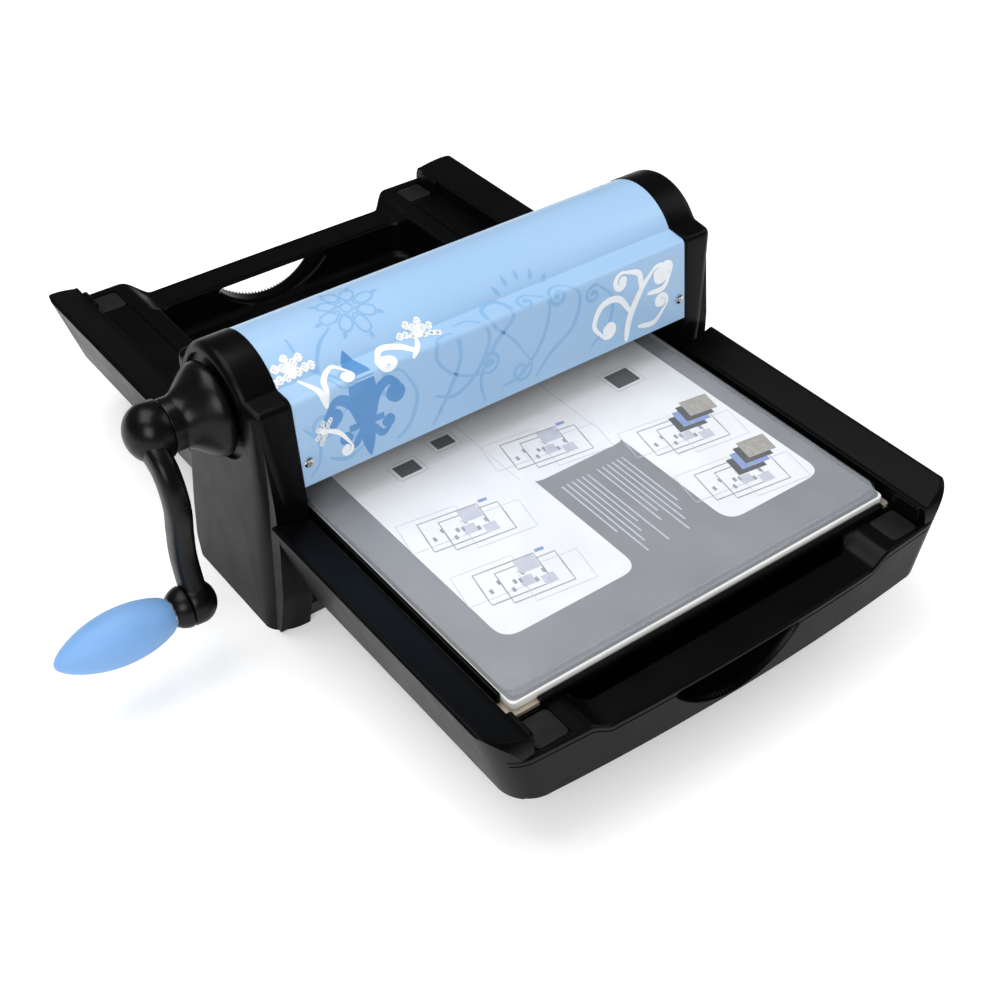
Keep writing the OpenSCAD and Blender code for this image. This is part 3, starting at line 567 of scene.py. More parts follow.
flowers = []
for points, width, hook in [
    ([(112, 2), (116, 20), (128, 40), (140, 52)], 6.0, (9, -1, 1.0)),
    ([(128, 40), (126, 54), (112, 60)], 5.0, (8, 1, 0.9)),
    ([(118, 24), (106, 40), (90, 40), (82, 26), (90, 14)], 5.5, (7, 1, 0.9)),
    ([(124, 10), (140, 8), (152, 18)], 4.5, (7, 1, 1.0)),
    ([(134, 34), (150, 34), (158, 46)], 4.5, (6, 1, 1.0)),
    ([(-72, 66), (-80, 76), (-92, 80), (-100, 72)], 6.5, (7, 1, 1.0)),
    ([(-76, 62), (-68, 70), (-64, 78)], 4.0, None),
    ([(-146, 52), (-150, 68), (-156, 82)], 4.6, None),
    ([(-146, 54), (-142, 72), (-130, 82), (-122, 72)], 4.2, (5, -1, 0.9)),
    ([(-150, 36), (-140, 30), (-132, 18)], 3.6, (5, -1, 0.9)),
    ([(158, 150), (150, 168), (152, 188)], 4.5, (9, 1, 1.1)),
]:
    flowers += curl(points, width, hook)
flowers += blossom((-62, 76), 14, 70) + blossom((-157, 84), 15, 96) + blossom((-148, 34), 9, 150)
printStrips("cover_flowers", flowers, 0.15, finishes["flowerWhite"])
print("cover print done")

hubLow, hubHigh = boxOf("crank_hub")
armLow = boxOf("crank_arm")[0]
ferruleLow, ferruleHigh = boxOf("handle_ferrule")
gripLow, gripHigh = boxOf("handle_grip")
handleY, handleZ = (gripLow[1] + gripHigh[1]) / 2, (gripLow[2] + gripHigh[2]) / 2
crank = {
    "rimR": (hubHigh[1] - hubLow[1]) / 2, "neckR": 19.0, "flare": 26.0, "armX": -252.0, "armT": 17.0,
    "kneeLine": [(6, 200), (0, crankZ), (-24, 166), (-34, 142), (-31, 116), (-30, 92), (handleY, handleZ),
                 (-46, 40)],
    "armW": 23.0, "waist": 4.0, "knobR": 21.0, "ballR": 16.0,
}


def bell():
    # rim with a rounded lip, then radius falls from rim to neck by t * t * (3 - 2t)
    x0, x1 = hubHigh[0], hubLow[0]
    lip = np.linspace(0, np.pi / 2, 6)
    rim = np.column_stack([x0 - 4 + 3.2 * np.cos(lip), crank["rimR"] - 3 + 3 * np.sin(lip)])
    t = np.linspace(0, 1, 32)
    fall = 1 - t * t * (3 - 2 * t)
    flare = np.column_stack([x0 - 5 - crank["flare"] * t,
                             crank["neckR"] + (crank["rimR"] - crank["neckR"]) * fall])
    neck = [(x1 + 0.8, crank["neckR"]), (x1 + 0.2, crank["neckR"] - 0.7), (x1, crank["neckR"] - 1.4), (x1, 3)]
    start = [(x0, 7.2), (x0, crank["rimR"] - 5), (x0 - 0.4, crank["rimR"] - 3.4)]
    return shell(lathe(np.vstack([start, rim, flare, neck]), 0, crankZ, 128))


hub = bevelled(makePiece("crank_bell", bell(), "crank", finishes["blackGloss"], 40), 0.3, 1, 60)
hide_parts("crank_hub")


def knobProfile(x, r, depth, way):
    # egg-shaped end: radius r cos a, depth 0.35 + 0.65 sin a of the whole, with an eased seam edge
    a = np.linspace(0, np.pi / 2, 18)
    seam = [(x, 2), (x, r - 2.4), (x + way * 0.4, r - 1.2), (x + way * 1.4, r - 0.35)]
    return np.vstack([seam, np.column_stack([x + way * depth * (0.35 + 0.65 * np.sin(a)),
                                             np.maximum(r * np.cos(a), 0.02)])])


def armSkin():
    # superellipse carried along the knee curve, its width narrowing to a waist halfway
    path = smoothPath(crank["kneeLine"], 16)
    t = np.linspace(0, 1, len(path))
    step = np.gradient(path, axis=0)
    side = np.column_stack([step[:, 1], -step[:, 0]]) / np.linalg.norm(step, axis=1)[:, None]
    a = np.linspace(0, 2 * np.pi, 40, endpoint=False)
    c, s = np.cos(a), np.sin(a)
    power = 0.72
    across = np.sign(c) * np.abs(c) ** power
    thick = np.sign(s) * np.abs(s) ** power * crank["armT"] / 2
    half = (crank["armW"] - crank["waist"] * np.sin(np.pi * t)) / 2
    yz = path[:, None, :] + side[:, None, :] * (half[:, None] * across[None, :])[..., None]
    x = np.broadcast_to(crank["armX"] + thick, yz.shape[:2])
    return shell(np.concatenate([x[..., None], yz], axis=-1))


upperKnob = shell(lathe(knobProfile(hubLow[0], crank["knobR"], hubLow[0] - armLow[0], -1), 0, crankZ))
lowerBall = shell(lathe(knobProfile(ferruleHigh[0] + 0.4, crank["ballR"], 22, 1), handleY, handleZ))
arm = makePiece("crank_arm_moulding", joined(armSkin(), upperKnob, lowerBall), "crank",
                finishes["blackGloss"], 45)
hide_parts("crank_arm")


def ferruleProfile():
    # half ball with a groove near its widest ring, then a neck to the grip
    x0, x1 = ferruleHigh[0], ferruleLow[0]
    a = np.linspace(0.06, 0.75, 14)
    ball = np.column_stack([x0 - 15.5 * np.sin(a), 15.5 * np.cos(a)])
    return np.vstack([[(x0, 4.2), (x0, 14.6)], ball, [(x1 + 0.4, 10.6), (x1, 10.2), (x1, 4.2)]])


ferrule = makePiece("handle_collar", shell(lathe(ferruleProfile(), handleY, handleZ)), "grip",
                    finishes["blackGloss"], 40)
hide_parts("handle_ferrule")


def gripProfile():
    # torpedo: radius swells by a power of sin towards the middle, times the root of 1 - t ** 6, which
    # closes it in a round end; t is crowded towards that end
    x0, x1 = gripHigh[0], gripLow[0]
    full = (gripHigh[1] - gripLow[1]) / 2
    t = np.sin(np.linspace(0, np.pi / 2, 70))
    r = (11 + (full - 11) * np.sin(np.pi * t ** 0.8) ** 0.9) * np.sqrt(1 - t ** 6)
    body = np.column_stack([x0 - 0.7 - (x0 - x1 - 0.7) * t, np.maximum(r, 0.02)])
    return np.vstack([[(x0, 4.2), (x0, 10.2), (x0 - 0.25, 10.8)], body])


grip = makePiece("soft_grip", shell(lathe(gripProfile(), handleY, handleZ)), "grip",
                 finishes["gripBlue"], 60)
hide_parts("handle_grip")
print("crank done")

trayLow, trayHigh = boxOf("front_tray")
rearHigh = boxOf("rear_tray")[1]
railLow, railHigh = boxOf("front_right_rail")
rearRailHigh = boxOf("rear_right_rail")[1]
tray = {
    "bottom": trayLow[2], "bed": trayHigh[2], "railTop": railHigh[2], "railX": railHigh[0],
    "wellX": 124.0, "wellCorner": 18.0, "wellFloor": 58.0, "barT": 30.0, "barDrop": 8.0, "ease": 16.0,
    "lean": 19.5, "corner": 24.0, "lip": 1.8, "rim": 2.6, "foot": 7.0,
    "holeX": -10.0, "holeW": 106.0, "holeH": 26.0, "holeTop": 85.5, "holeFlare": 2.2, "barLean": 12.0,
    "grooveIn": 17, "grooveW": 1.2, "grooveNear": 5, "grooveFar": 40, "grooveDepth": 1.0,
    "restGap": 0.8, "restX": 169.2, "restFar": 9, "restNear": 35, "restDepth": 1.8,
    "deckX": 171, "deckFrom": 33.0, "deckT": 6, "padSize": 24.0, "padIn": 18, "padSunk": 0.6,
}
railForm = {"inside": 171.2, "nose": 15.0, "noseX": 185.0, "noseGap": 0.6, "stretch": 20.0, "round": 20}
ends = {
    "front": {"sign": 1, "reach": -trayLow[1], "bow": 7.0, "inset": 0.0, "near": 75.0,
              "railFar": -railLow[1], "nearTop": 66.0, "nearLow": 66.0},
    "rear": {"sign": -1, "reach": rearHigh[1], "bow": 1.0, "inset": 15.0, "near": 78.0,
             "railFar": rearRailHigh[1], "nearTop": 58.2, "nearLow": 65.6},
}


def smooth(t):
    t = np.clip(t, 0, 1)
    return t * t * (3 - 2 * t)


def endLine(x, end):
    # distance of the outer end from the rollers: a parabolic bow, and an S where the bar is set back
    inner = tray["railX"] - tray["corner"]
    back = end["inset"] * smooth((tray["wellX"] + 12 - np.abs(x)) / 24)
    return end["reach"] - end["bow"] * (x / inner) ** 2 - back


def topHeight(x, y, end):
    # shelves at the bed's height; the bar drops between them along an S
    bar = end["reach"] - end["inset"] - tray["barT"]
    across = smooth((tray["wellX"] + 8 - np.abs(x)) / tray["ease"])
    along = smooth((y - bar + 14) / 12)
    return tray["bed"] - tray["barDrop"] * across * along


def wallX(z):  # half width over the leaning outer wall at a height
    return tray["railX"] - tray["lean"] * (tray["railTop"] - z) / (tray["railTop"] - tray["bottom"])


def trayLoops(end):
    # matching loops round the tray: outer wall at its top and the tub's rim. y is the distance from the
    # rollers; the loop runs up one side, along the end and down the other. Beside the rails the wall is
    # drawn in a little, so that it stays inside them
    far, corner = end["railFar"], tray["corner"]
    wide = wallX(tray["bed"])
    cx = wide - corner
    cornerY = endLine(np.array(cx), end) - corner
    y = np.linspace(end["near"], cornerY, 60)[:-1]
    side = np.column_stack([wide - 1 + smooth((y - far + 6) / 6), y])
    a = np.linspace(0, np.pi / 2, 16)
    arc = np.column_stack([cx + corner * np.cos(a), cornerY + corner * np.sin(a)])
    arc[:, 0] -= 1 - smooth((arc[:, 1] - far + 6) / 6)
    x = np.linspace(cx, -cx, 170)[1:-1]
    front = np.column_stack([x, endLine(x, end)])
    half = np.concatenate([side, arc])
    outer = np.concatenate([half, front, half[::-1] * (-1, 1)])
    # each outer point meets the rim straight across, or along a ray from the middle of the rim's corner
    wellX, bar, r = tray["wellX"], end["reach"] - end["inset"] - tray["barT"], tray["wellCorner"]
    dx, dy = np.abs(outer[:, 0]) - (wellX - r), outer[:, 1] - (bar - r)
    length = np.maximum(np.hypot(dx, dy), 1e-6)
    near = end["near"]
    wallSide = np.where(dy < 0, wellX, wellX - r + r * dx / length)
    rimX = np.where(dx < 0, outer[:, 0], np.sign(outer[:, 0]) * wallSide)
    straight = near + 3 + (outer[:, 1] - near) * (bar - r - near - 3) / (bar - r - near)
    rimY = np.where(dx < 0, bar, np.where(dy < 0, straight, bar - r + r * dy / length))
    return outer, np.column_stack([rimX, rimY])


def leanAt(place, end):
    # how far the outer wall is drawn in at the underside: all of it at the sides, turning to none along the
    # end; a bar that is set back leans in towards the rollers
    cx = wallX(tray["bed"]) - tray["corner"]
    reach = (wallX(tray["bed"]) - wallX(tray["bottom"])) * np.clip(place[:, 0] / cx, -1, 1)
    back = tray["barLean"] * (end["inset"] > 0) * smooth((tray["wellX"] + 12 - np.abs(place[:, 0])) / 24)
    return np.column_stack([reach, back * (place[:, 1] > end["reach"] - 60)])


def traySkin(end):
    # loops from the underside up the leaning wall, round the lip, across the top, round the tub's rim,
    # down its wall and round its foot to the floor
    place, rim = trayLoops(end)
    lean = leanAt(place, end)
    across = rim - place
    way = across / np.linalg.norm(across, axis=1)[:, None]
    height = topHeight(place[:, 0], place[:, 1], end)
    bottom, span = tray["bottom"], tray["bed"] - tray["bottom"]

    def wallAt(z, inwards=0.0):
        drawn = np.broadcast_to((tray["bed"] - z) / span, height.shape)[:, None]
        return place - lean * drawn + way * inwards

    loops = [(wallAt(bottom, 0.8), np.full(len(place), bottom)),
             (wallAt(bottom + 0.8), np.full(len(place), bottom + 0.8))]
    loops += [(wallAt(z), np.full(len(place), z)) for z in np.linspace(bottom + 4, height.min() - 7, 8)]
    for drop, inwards in ((5.4, 0), (5.1, 0.7), (4.4, 0.7), (4.1, 0)):
        loops.append((wallAt(height - drop, inwards), height - drop))
    lip = tray["lip"]
    for a in np.linspace(0, np.pi / 2, 6):
        up = height - lip * (1 - math.sin(a))
        loops.append((wallAt(up, lip * (1 - math.cos(a))), up))
    for f in np.linspace(0.06, 1, 18)[:-1]:
        spot = place + across * f
        loops.append((spot, topHeight(spot[:, 0], spot[:, 1], end)))
    rimHeight = topHeight(rim[:, 0], rim[:, 1], end)
    for a in np.linspace(0, np.pi / 2, 6):
        spot = rim + way * (tray["rim"] * (math.sin(a) - 1))
        loops.append((spot, rimHeight - tray["rim"] * (1 - math.cos(a))))
    foot, floor = tray["foot"], tray["wellFloor"]
    for drop in (12, 22):
        loops.append((rim, rimHeight - drop))
    for a in np.linspace(0, np.pi / 2, 7):
        spot = rim + way * (foot * (1 - math.cos(a)))
        loops.append((spot, np.full(len(rim), floor + foot * (1 - math.sin(a)))))
    points = np.array([np.column_stack([spot, z]) for spot, z in loops])
    points[..., 1] *= -end["sign"]
    return shell(points)


def holeCutter(end):
    # the hand hole: flat on top, an arc below. Its width grows by flare * (1 - s / 6) ** 2 over the last
    # 6 mm before each face, and further by the distance beyond the face
    w, h, top = tray["holeW"] / 2, tray["holeH"], tray["holeTop"]
    r = (w * w + h * h) / (2 * h)
    a = np.linspace(-math.asin(w / r) * 0.985, math.asin(w / r) * 0.985, 40)
    arc = np.column_stack([r * np.sin(a), top - h + r - r * np.cos(a)])
    line = roundedLine([(0, top, 0), (-w, top, 2.5), *[(x, z, 0) for x, z in arc[1:-1]], (w, top, 2.5),
                        (0, top, 0)], 5)[:-1]
    ring = filled(line, 1.5)
    step = np.roll(ring, -1, axis=0) - np.roll(ring, 1, axis=0)
    length = np.maximum(np.linalg.norm(step, axis=1), 1e-6)
    out = np.column_stack([step[:, 1], -step[:, 0]]) / length[:, None]
    s = np.array([-1.2, 0.6, 1.2, 2, 3, 4.5, 6])
    flare = tray["holeFlare"]
    wide = np.where(s < 0, flare - s, flare * (1 - np.clip(s, 0, 6) / 6) ** 2)
    layers = []
    for outside, depth, grow in [*zip([True] * 7, s, wide), *zip([False] * 7, s[::-1], wide[::-1])]:
        spot = ring + out * grow
        x, z = spot[:, 0] + tray["holeX"], spot[:, 1]
        place = np.column_stack([x, np.full(len(x), end["reach"] - end["inset"])])
        drawn = leanAt(place, end)[:, 1] * (tray["bed"] - z) / (tray["bed"] - tray["bottom"])
        faceY = endLine(x, end) - drawn
        y = faceY - depth if outside else 0 * x + end["reach"] - end["inset"] - tray["barT"] + depth
        layers.append(np.column_stack([x, -end["sign"] * y, z]))
    return shell(np.array(layers))


def cutBy(piece, cutterSkin):
    # the cutter's shape is taken out of the piece for good, and the cutter is then removed
    mesh = bpy.data.meshes.new("cutter")
    mesh.from_pydata((cutterSkin[0] * mm).tolist(), [], cutterSkin[1])
    work = bmesh.new()
    work.from_mesh(mesh)
    faceOutwards(work)
    work.to_mesh(mesh)
    work.free()
    cutter = bpy.data.objects.new("cutter", mesh)
    bpy.context.scene.collection.objects.link(cutter)
    cut = piece.modifiers.new("hole", "BOOLEAN")
    cut.operation, cut.solver, cut.object = "DIFFERENCE", "EXACT", cutter
    bpy.context.view_layer.update()
    result = bpy.data.meshes.new_from_object(piece.evaluated_get(bpy.context.evaluated_depsgraph_get()))
    piece.modifiers.clear()
    piece.data = result
    bpy.data.objects.remove(cutter)
    result.shade_smooth()
    result.set_sharp_from_angle(angle=math.radians(30))


def railSkin(side, end):
    # the rail's section carried along it; each station is held under the nose's ceiling, over the round
    # lower corner's floor and inside the tray's corner, so those shapes come from the limits
    low, top, inside = tray["bottom"], tray["railTop"], railForm["inside"]
    keys = [(inside, low, 0.6), (inside, 110, 0.6), (174.4, 110.4, 1), (197.6, 118.1, 1), (198.2, top, 0.5),
            (200.2, top, 0.8), (tray["railX"], 116.4, 1.2), (182.5, low, 1.2)]
    closed = [(176, low, 0)] + keys + [(176, low, 0)]
    ring = filled(roundedLine(closed, 4), 1.6)[:-1]
    far, stretch = end["railFar"], railForm["stretch"]
    nose, cap, bend = railForm["nose"], tray["bed"] + 0.3, railForm["round"]
    straight = np.linspace(0, 1, 26)
    noseEnd = endLine(np.array(railForm["noseX"]), end) - railForm["noseGap"]
    stations = np.concatenate([np.linspace(far - stretch, far, 34), np.linspace(far, noseEnd, 16)])
    x, z = ring[:, 0][None, :], ring[:, 1][None, :]
    lowNear = end["nearLow"] + (end["nearTop"] - end["nearLow"]) * (z - low - bend) / (top - low - bend)
    near = np.where(z < low + bend, end["nearLow"], lowNear)
    u = np.concatenate([np.zeros(1), straight])[:, None]
    body = near + u * (far - stretch - near)
    y = np.concatenate([body, np.broadcast_to(stations[1:, None], (len(stations) - 1, len(ring)))])
    x, z = np.broadcast_to(x, y.shape).copy(), np.broadcast_to(z, y.shape).copy()
    reach = np.clip(y - end["nearLow"], 0, bend)
    z = np.maximum(z, low + bend - np.sqrt(np.maximum(bend ** 2 - (bend - reach) ** 2, 0)))
    ease = np.clip((y - (noseEnd - nose)) / nose, 0, 1)
    z = np.minimum(z, cap + (top - cap) * np.sqrt(1 - ease ** 2))
    beyond = np.arange(len(y)) >= len(y) - 16
    z[beyond] = np.maximum(z[beyond], cap)
    corner = tray["corner"]
    cornerY = endLine(wallX(tray["bed"]) - corner, end) - corner
    past = np.clip(y - cornerY, 0, corner)
    x = np.minimum(x, wallX(z) - corner + np.sqrt(corner ** 2 - past ** 2))
    return shell(np.stack([side * x, -end["sign"] * y, z], axis=-1))


for name, end in ends.items():
    piece = makePiece(name + "_tub", traySkin(end), "machine", finishes["blackPlastic"], 30)
    cutBy(piece, holeCutter(end))
    for side in (-1, 1):
        x0 = tray["wellX"] + tray["grooveIn"]
        rest = (end["reach"] - tray["restNear"], end["reach"] - tray["restFar"])
        groove = (end["near"] - tray["grooveNear"], end["reach"] - tray["grooveFar"])
        for ys, xs, depth in ((rest, (x0 + tray["restGap"], tray["restX"]), tray["restDepth"]),
                              (groove, (x0, x0 + tray["grooveW"]), tray["grooveDepth"])):
            xs, ys = sorted(side * x for x in xs), sorted(-end["sign"] * y for y in ys)
            cutBy(piece, slab((xs[0], ys[0], tray["bed"] - depth), (xs[1], ys[1], tray["bed"] + 2), 0.5, 0.05, 2))
    piece.modifiers.new("flats", "WEIGHTED_NORMAL").keep_sharp = True
    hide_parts(name + "_tray")
    ys = sorted((-end["sign"] * tray["deckFrom"], -end["sign"] * (end["near"] + 1)))
    deck = slab((-tray["deckX"], ys[0], tray["bed"] - tray["deckT"]), (tray["deckX"], ys[1], tray["bed"]),
                0.6, 0.5, 2)
    makePiece(name + "_deck", deck, "machine", finishes["blackPlastic"], 30)
    for side, word in ((-1, "left"), (1, "right")):
        rail = makePiece(name + "_" + word + "_guide", railSkin(side, end), "machine",
                         finishes["blackPlastic"], 30)
        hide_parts(name + "_" + word + "_rail")

easedParts = {
    "front_bottom_plate": ("blackPlastic", 0.5, 2), "rear_bottom_plate": ("blackPlastic", 0.5, 2),
    "rail_end_tabs": ("blackPlastic", 0.5, 2),
    "platform_plate": ("boardMetal", 0.4, 2), "platform_side_lips": ("blackPlastic", 0.7, 2),
    "platform_end_lips": ("blackPlastic", 0.7, 2),
}
bodyOf = {node: body for body, members in frame["record"]["behaviour"]["bodies"].items() for node in members}
for node, (material, width, segments) in easedParts.items():
    easedCopy(node, bodyOf[node], finishes[material], width, segments)
padLow, padHigh = boxOf("corner_pads")
padSize, pads = tray["padSize"], []
for side in (-1, 1):
    for y in (padLow[1], padHigh[1] - padSize):
        x0, x1 = sorted((side * (tray["wellX"] + tray["padIn"]), side * padHigh[0]))
        pads.append(slab((x0, y, tray["bed"] - tray["restDepth"]),
                         (x1, y + padSize, tray["bed"] - tray["padSunk"]), 4, 0.4))
cornerPads = makePiece("corner_rests", joined(*pads), "machine", finishes["blackMatte"], 50)
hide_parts("corner_pads")
print("trays and rails done")


def padPiece(node, corner, edge, material):
    low, high = boxOf(node)
    piece = makePiece(node + "_sheet", slab(low, high, corner, edge), "platform", material, 50)
    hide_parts(node)
    return piece


padPiece("adapter_pad", 4, 0.8, finishes["milkyPad"])
insertLow, insertHigh = boxOf("printed_insert")
insertBase = makePiece("insert_sheet", slab(insertLow, insertHigh - (0, 0, 0.3), 5, 0.1), "platform",
                       finishes["printGrey"], 50)
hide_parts("printed_insert")
for node in ("lower_cutting_pad", "upper_cutting_pad"):
    pad = padPiece(node, 8, 0.35, clearFace)
    pad.data.materials.append(clearEdge)
    for face in pad.data.polygons:
        face.material_index = 0 if abs(face.normal.z) > 0.9 else 1

# printed panels: each is a flat sheet of quads between an outline and its middle


def panel(ring, z):
    # outline drawn to its middle in two steps, flat at height z
    ring = np.asarray(ring, float)
    middle = ring.mean(axis=0)
    rows = np.stack([ring, (ring + middle) / 2, middle + (ring - middle) * 0.001])
    points = np.concatenate([rows, np.full(rows.shape[:2] + (1,), z)], axis=-1)
    return shell(points, capFirst=False, capLast=False)


def flatPiece(name, skins, material):
    piece = makePiece(name, joined(*skins), "platform", material, 60, outward=False)
    work = bmesh.new()
    work.from_mesh(piece.data)
    work.normal_update()
    bmesh.ops.reverse_faces(work, faces=[f for f in work.faces if f.normal.z < 0])
    work.to_mesh(piece.data)
    work.free()
    return piece


def outlineStrip(ring, width, z):
    # closed line of even width along a ring
    ring = np.vstack([ring, ring[:2]])
    strip = ribbonStrip(ring, np.full(len(ring), width))[:-1]
    points = np.concatenate([strip, np.full(strip.shape[:2] + (1,), z)], axis=-1)
    return shell(points, wrapColumns=False, capFirst=False, capLast=False)


def blendRing(keys, radius, steps=6):
    # outline through the keys with every corner rounded
    first = (np.array(keys[0]) + np.array(keys[-1])) / 2
    line = [(*first, 0)] + [(x, y, radius) for x, y in keys] + [(*first, 0)]
    return roundedLine(line, steps)[:-1]


def sheetQuad(corner, along, up, z):
    # flat parallelogram from a corner and two sides
    corner, along, up = (np.array(v, float) for v in (corner, along, up))
    grid = corner + np.linspace(0, 1, 3)[:, None, None] * along + np.linspace(0, 1, 3)[None, :, None] * up
    points = np.concatenate([grid, np.full((3, 3, 1), z)], axis=-1)
    return shell(points, wrapColumns=False, capFirst=False, capLast=False)


def quadRing(corner, along, up):
    corner, along, up = (np.array(v, float) for v in (corner, along, up))
    return np.array([corner, corner + along / 2, corner + along, corner + along + up / 2, corner + along + up,
                     corner + along / 2 + up, corner + up, corner + up / 2])


insert = {
    "white": [[(-134, 20), (-22, 20), (-22, -100), (-22, -236), (-134, -236)],
              [(60, 60), (148, 60), (148, -238), (58, -238), (58, -126)]],
    "bridge": [(-26, 20), (62, 20), (62, -126), (-26, -126)],
    "icons": [(6, -96, 0), (-92, -132, 0), (-92, -196, 0), (96, -144, 1), (96, -206, 1)],
    "swatches": [(108, -66, 22, 18), (-86, -58, 18, 13), (-48, -48, 16, 11)],
    "blockBars": 13,
}
insertTop = insertHigh[2] - 0.26
whites = [panel(blendRing(keys, 14), insertTop) for keys in insert["white"]]
whites.append(panel(blendRing(insert["bridge"], 12), insertTop + 0.02))
flatPiece("insert_panels", whites, finishes["printWhite"])


def stackIcon(cx, cy, coloured):
    # an exploded stack: sheets set off from each other along one direction, drawn as outlines
    lines, pale, dark, blue, tan = [], [], [], [], []
    along, up, shift = (46, -6), (6, 30), (-13, 7)
    for k in range(4):
        corner = np.array([cx - 23, cy - 14]) + np.array(shift) * (1.5 - k)
        target = pale if k in (0, 3) else lines
        z = insertTop + 0.06 + 0.012 * k
        target.append(outlineStrip(quadRing(corner, along, up), 0.7 if k in (0, 3) else 1.1, z))
        if k in (1, 2):
            for m in range(4):
                spot = corner + np.array([6 + 9 * m, 8 + 5 * (m % 2) - 0.6 * m])
                lines.append(sheetQuad(spot, (2.6, 0.4), (0.3, 4.2), z + 0.004))
            pale.append(sheetQuad(corner + np.array([27, 1]), (10, -1), (1.6, 9), z + 0.004))
    if coloured:
        for k, target in enumerate((dark, blue, dark, tan)):
            corner = np.array([cx + 2 + 6.5 * k, cy + 3.4 * k])
            target.append(sheetQuad(corner, (24, -3.2), (3.6, 18), insertTop + 0.12 + 0.012 * k))
    else:
        pale.append(sheetQuad((cx + 4, cy + 2), (15, -2), (2.2, 13), insertTop + 0.11))
        blue.append(sheetQuad((cx + 24, cy + 13), (7, -1), (1, 3), insertTop + 0.12))
    return lines, pale, dark, blue, tan


inks = [[], [], [], [], []]
for cx, cy, coloured in insert["icons"]:
    for pot, strokes in zip(inks, stackIcon(cx, cy, coloured)):
        pot += strokes
for x, y, w, h in insert["swatches"]:
    inks[2].append(sheetQuad((x - w / 2, y - h / 2), (w, 0), (0, h), insertTop + 0.1))
    frameRing = quadRing((x - w / 2 - 3, y - h / 2 - 3), (w + 6, 0), (0, h + 6))
    inks[1].append(outlineStrip(frameRing, 0.8, insertTop + 0.09))
for x0, y0, x1, y1 in ((-30, -20, -30, -118), (52, -20, 52, -100), (20, -24, 56, -24)):
    inks[1].append(sheetQuad((x0, y0), (x1 - x0 + 0.5, 0) if x0 != x1 else (0.5, 0), (0, y1 - y0 or 0.5),
                             insertTop + 0.08))
for k in range(insert["blockBars"]):
    x = 44 - 4.6 * k
    if k == 6:
        continue
    inks[1].append(sheetQuad((x, -140), (1.3, 0), (0, -60 - 9 * ((k * 5) % 4)), insertTop + 0.05))
for name, strokes, ink in zip(("lines", "tints", "darks", "blues", "tans"), inks,
                              ("printLine", "printPale", "printDark", "printBlue", "printTan")):
    flatPiece("insert_" + name, strokes, finishes[ink])

print("pads done")

screw = {"headR": 3.8, "headH": 2.0, "cross": 0.55, "depth": 0.9}


def crossHead(x, y, z, out):
    # domed disc on a polar grid: height is headH * sqrt(1 - 0.8 r^2), less a cross-shaped dip
    r = np.concatenate([np.linspace(0.02, 0.62, 22), np.linspace(0.66, 1, 8)])[:, None]
    a = np.linspace(0, 2 * np.pi, 96, endpoint=False)[None, :]
    px, pz = screw["headR"] * r * np.cos(a), screw["headR"] * r * np.sin(a)
    narrow = np.minimum(np.abs(px), np.abs(pz))
    length = np.maximum(np.abs(px), np.abs(pz))
    dip = smooth((screw["cross"] - narrow) / 0.25 + 0.5) * smooth((2.3 - length) / 0.5)
    height = screw["headH"] * np.sqrt(1 - 0.8 * r ** 2) - screw["depth"] * dip
    rows = np.stack(np.broadcast_arrays(x + px, y + out * height, z + pz), axis=-1)
    rim = rows[-1:].copy()
    rim[..., 1] = y
    return shell(np.concatenate([rows, rim]))


screwLow, screwHigh = boxOf("cover_screws")
heads = []
for x in (screwLow[0] + 3.8, screwHigh[0] - 3.8):
    for y, out in ((screwLow[1] + 2, -1), (screwHigh[1] - 2, 1)):
        z = (screwLow[2] + screwHigh[2]) / 2
        heads.append(crossHead(x, y, z, out))
        shank = np.array([(0, 0.05), (0, 1.9), (11, 1.9), (11, 0.05)])
        turned = lathe(shank, 0, 0, 24)
        heads.append(shell(np.stack([x + turned[..., 1], y - out * turned[..., 0], z + turned[..., 2]],
                                    axis=-1)))
coverScrews = makePiece("cover_screw_heads", joined(*heads), "machine", finishes["chrome"], 40)
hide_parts("cover_screws")

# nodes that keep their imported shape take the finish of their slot
plainFinish = {
    "black_plastic": "blackPlastic", "steel": "steel", "dark_steel": "darkSteel", "bronze": "bronze",
    "screw": "chrome", "rubber": "blackMatte",
}
for node, member in nodes.items():
    if slotOf[node] in plainFinish:
        material = finishes[plainFinish[slotOf[node]]]
        if not member.material_slots:
            member.data.materials.append(material)
        for holder in member.material_slots:
            holder.material = material

stage = {"floor": 8.0, "world": 0.52, "mirrored": 0.16, "floorGlow": 0.30}
lamps = {  # place, target, size, power
    "overheadBox": ((-0.5, 0.5, 2.4), (0, 0, 0), (2.2, 1.6), 35),
    "frontFill": ((-1.6, -1.6, 1.6), (0, -0.05, 0.1), (1.4, 1.4), 26),
    "sideFill": ((2.2, -0.5, 1.5), (0, 0, 0.1), (1.2, 1.6), 12),
}
view = {"place": (-0.5489, -0.7821, 0.8028), "tilt": 49.8, "turn": -37.0, "lens": 55.66, "sensor": 36.0,
        "far": 50}


def dimmed(tree, full, mirrored):
    # strength that falls to the mirrored value for rays that left a glossy surface
    path = tree.nodes.new("ShaderNodeLightPath")
    mix = tree.nodes.new("ShaderNodeMapRange")
    mix.inputs["To Min"].default_value, mix.inputs["To Max"].default_value = full, mirrored
    tree.links.new(path.outputs["Is Glossy Ray"], mix.inputs["Value"])
    return mix.outputs["Result"]


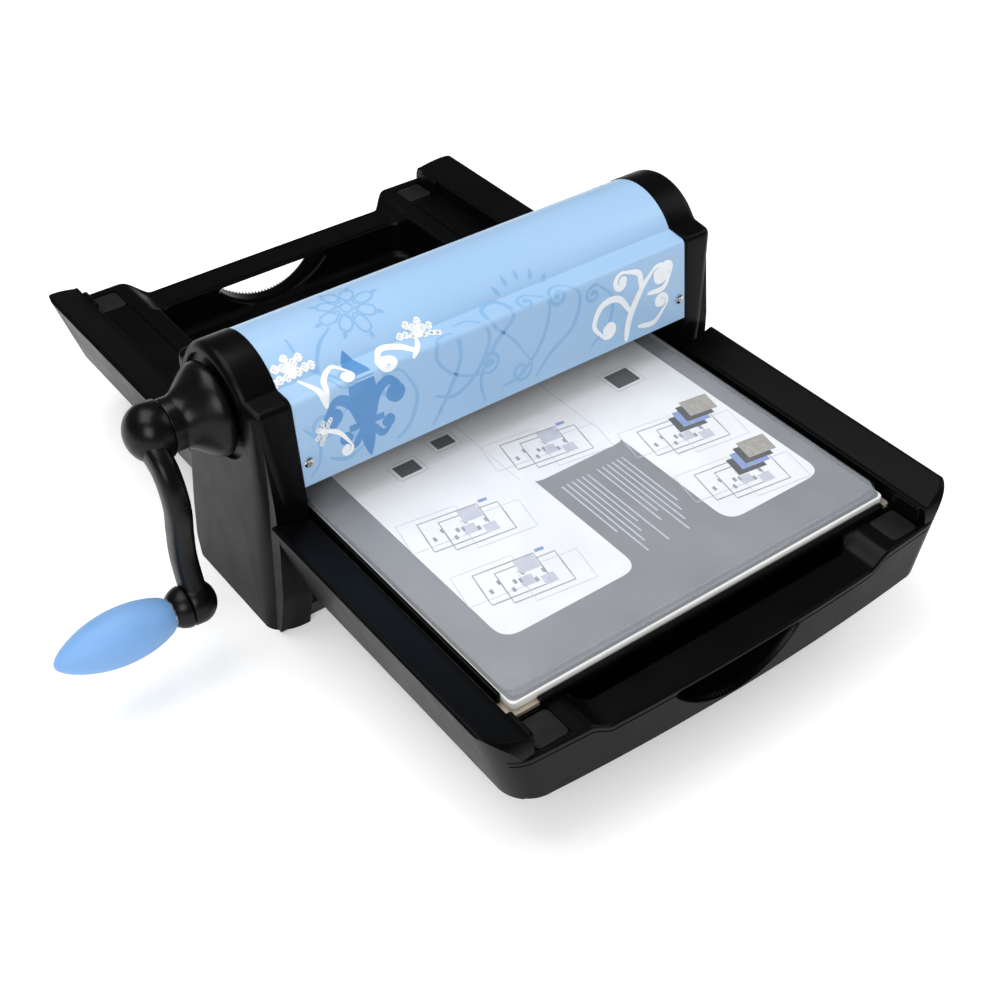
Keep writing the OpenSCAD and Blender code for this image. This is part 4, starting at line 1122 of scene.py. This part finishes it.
def floorPlane():
    n = np.linspace(-stage["floor"] / 2, stage["floor"] / 2, 9) / mm
    x, y = np.meshgrid(n, n, indexing="ij")
    mesh = bpy.data.meshes.new("floor")
    mesh.from_pydata((np.stack([x, y, np.full(x.shape, -0.05)], axis=-1).reshape(-1, 3) * mm).tolist(), [],
                     gridFaces(9, 9)[:, ::-1].tolist())
    floor = bpy.data.objects.new("floor", mesh)
    bpy.context.scene.collection.objects.link(floor)
    material, tree, shader, coordinate = nodeTools("paleFloor")
    cloud = noiseNode(tree, coordinate, 3, 2)
    tree.links.new(twoTone(tree, cloud, (0.90, 0.90, 0.90), (0.92, 0.92, 0.92)), shader.inputs["Base Color"])
    shader.inputs["Roughness"].default_value = 0.6
    shader.inputs["Specular IOR Level"].default_value = 0.2
    shader.inputs["Emission Color"].default_value = (1, 1, 1, 1)
    tree.links.new(dimmed(tree, stage["floorGlow"], 0), shader.inputs["Emission Strength"])
    mesh.materials.append(material)


def softLight(name, place, target, size, power):
    data = bpy.data.lights.new(name, "AREA")
    data.shape, data.size, data.size_y = "RECTANGLE", size[0], size[1]
    data.energy, data.color = power, (1, 1, 1)
    lamp = bpy.data.objects.new(name, data)
    bpy.context.scene.collection.objects.link(lamp)
    lamp.location = place
    way = np.array(target, float) - place
    lamp.rotation_euler = (math.acos(-way[2] / np.linalg.norm(way)), 0, math.atan2(way[1], way[0]) - math.pi / 2)
    return lamp


floorPlane()
for name, settings in lamps.items():
    softLight(name, *settings)

world = bpy.data.worlds.new("studio")
bpy.context.scene.world = world
world.use_nodes = True
world.node_tree.nodes["Background"].inputs["Color"].default_value = (1, 1, 1, 1)
worldTree = world.node_tree
worldTree.links.new(dimmed(worldTree, stage["world"], stage["world"] * stage["mirrored"]),
                    worldTree.nodes["Background"].inputs["Strength"])
bpy.context.scene.view_settings.view_transform = "Standard"

cameraData = bpy.data.cameras.new("camera")
cameraData.lens, cameraData.sensor_width, cameraData.clip_end = view["lens"], view["sensor"], view["far"]
camera = bpy.data.objects.new("camera", cameraData)
camera.location = view["place"]
camera.rotation_euler = (math.radians(view["tilt"]), 0, math.radians(view["turn"]))
bpy.context.scene.collection.objects.link(camera)
bpy.context.scene.camera = camera

bpy.context.view_layer.update()
print("stage ready")
